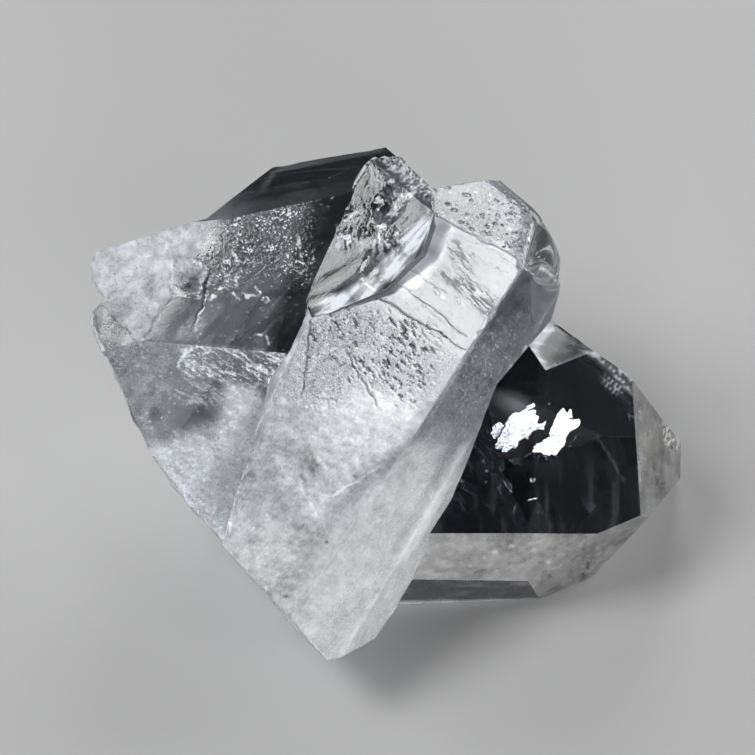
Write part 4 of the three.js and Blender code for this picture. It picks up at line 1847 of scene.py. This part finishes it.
# Flakes of the two flashes in the clear window: the pixel, length, width and turn of each. They
# start FLASH_DEPTH millimetres behind the facet, and each lies a little deeper than the last.
FLASH_DEPTH = 10
FLASH_STEP = 0.15
LEFT_FLASH = (
    ((521, 425), 8.6, 5.0, 50),
    ((511, 439), 6.0, 4.0, 35),
    ((529, 410), 2.8, 1.4, 65),
    ((497, 431), 3.4, 1.8, 50),
    ((501, 445), 2.6, 1.5, 20),
    ((528, 432), 2.4, 1.6, 80),
)
RIGHT_FLASH = (
    ((559, 431), 8.4, 4.8, 54),
    ((549, 445), 5.0, 3.2, 30),
    ((567, 420), 4.0, 2.6, 70),
    ((541, 427), 2.8, 1.2, 48),
    ((556, 447), 2.6, 1.4, 20),
)
FLASHES = (("right_front_left", LEFT_FLASH), ("right_front", RIGHT_FLASH))

# Clouds of small flakes round them: facet, pixel, length, width, seed, count and size.
CLOUD_DEPTH = 10.3
CLOUDS = (
    ("right_front_left", (512, 438), 10, 6, 301, 60, 0.3),
    ("right_front", (560, 436), 9, 7, 302, 90, 0.25),
)

# Bubbles, as pixel and size, and one thin glint, which all lie BUBBLE_DEPTH deep.
BUBBLE_DEPTH = 6
BUBBLES = (((532, 480), 0.9), ((487, 471), 0.7), ((486, 482), 0.5), ((547, 404), 0.5))
GLINT = (534, 499)


def make_inclusions(surface):
    """The bright flashes, small flakes, bubbles and glint inside the clear crystal."""
    cracks = Flakes()
    for facet, flash in FLASHES:
        depth = FLASH_DEPTH
        for pixel, long, wide, turn in flash:
            middle = place_behind(surface, facet, pixel, depth)
            cracks.add(middle, SHINING, long, wide, turn, pixel[0], ragged=0.5, sides=60)
            depth += FLASH_STEP
    for facet, pixel, long, wide, seed, count, size in CLOUDS:
        middle = place_behind(surface, facet, pixel, CLOUD_DEPTH)
        cracks.add_cloud(middle, SHINING, long, wide, 50, seed, count, size)
    for pixel, size in BUBBLES:
        middle = place_behind(surface, "right_front_left", pixel, BUBBLE_DEPTH)
        cracks.add(middle, SHINING, size, size, 0, pixel[1], thick=0.1, sides=12, ragged=0.15)
    middle = place_behind(surface, "right_front", GLINT, BUBBLE_DEPTH)
    cracks.add(middle, SHINING, 1.6, 0.35, 20, 7, thick=0.03, sides=10)
    cracks.finish("inner_cracks", fracture_material())


# ------------------------------------------------------------------ floor, lights and surroundings
FLOOR_REACH = 1.6
FLOOR_DROP = 0.0001

# Area lights: name, way from the cluster, distance, width and height, radiance, and for the key its
# shift in its own plane. Lengths are in metres.
SOFTBOXES = (
    # The key's lower edge is where the middle crystal's left face stops mirroring it.
    ("key", (-0.66, -0.17, 0.73), 0.60, (0.24, 0.22), 11.5, (0.0, 0.118)),
    ("front", (0.24, -0.95, 0.19), 0.67, (0.40, 0.20), 11.5),
    ("back", (0.06, 0.82, 0.57), 0.70, (0.26, 0.26), 6.5),
    # The clear crystal's small top facet mirrors this one.
    ("quad", (0.61, -0.53, 0.59), 0.70, (0.17, 0.15), 5.0),
    ("left_fill", (-0.86, 0.44, 0.22), 0.80, (0.40, 0.40), 6.0),
    ("right_fill", (0.86, 0.46, 0.22), 0.80, (0.40, 0.40), 6.0),
)
SKY = (0.95, 0.97, 1.0, 1)
SKY_STRENGTH = 0.03


def make_floor():
    """A large square, a little below the cluster."""
    mesh = bpy.data.meshes.new("floor")
    corners = [(x * FLOOR_REACH, y * FLOOR_REACH, 0) for x, y in ((-1, -1), (1, -1), (1, 1), (-1, 1))]
    mesh.from_pydata(corners, [], [(0, 1, 2, 3)])
    mesh.materials.append(floor_material())
    floor = bpy.data.objects.new("floor", mesh)
    floor.location.z = -FLOOR_DROP
    bpy.context.scene.collection.objects.link(floor)


def softbox(name, way, distance, size, radiance, shift=(0, 0)):
    """An area light on that way from the cluster's middle, facing it, then shifted in its own plane."""
    data = bpy.data.lights.new(name, "AREA")
    data.shape = "RECTANGLE"
    data.size, data.size_y = size
    data.energy = radiance * math.pi * size[0] * size[1]
    light = bpy.data.objects.new(name, data)
    way = Vector(way).normalized()
    turn = (-way).to_track_quat("-Z", "Y")
    light.location = Vector(TARGET * MM) + way * distance + turn @ Vector((*shift, 0))
    light.rotation_mode = "QUATERNION"
    light.rotation_quaternion = turn
    light.visible_camera = False
    bpy.context.scene.collection.objects.link(light)


def make_lights():
    """The softboxes, and a faint even light from everywhere."""
    for row in SOFTBOXES:
        softbox(*row)
    world = bpy.data.worlds.new("studio")
    world.use_nodes = True
    background = world.node_tree.nodes["Background"]
    background.inputs["Color"].default_value = SKY
    background.inputs["Strength"].default_value = SKY_STRENGTH
    bpy.context.scene.world = world


def main():
    make_camera()
    make_inclusions(make_crystal())
    make_floor()
    make_lights()
    bpy.context.scene.view_settings.view_transform = "Standard"


main()
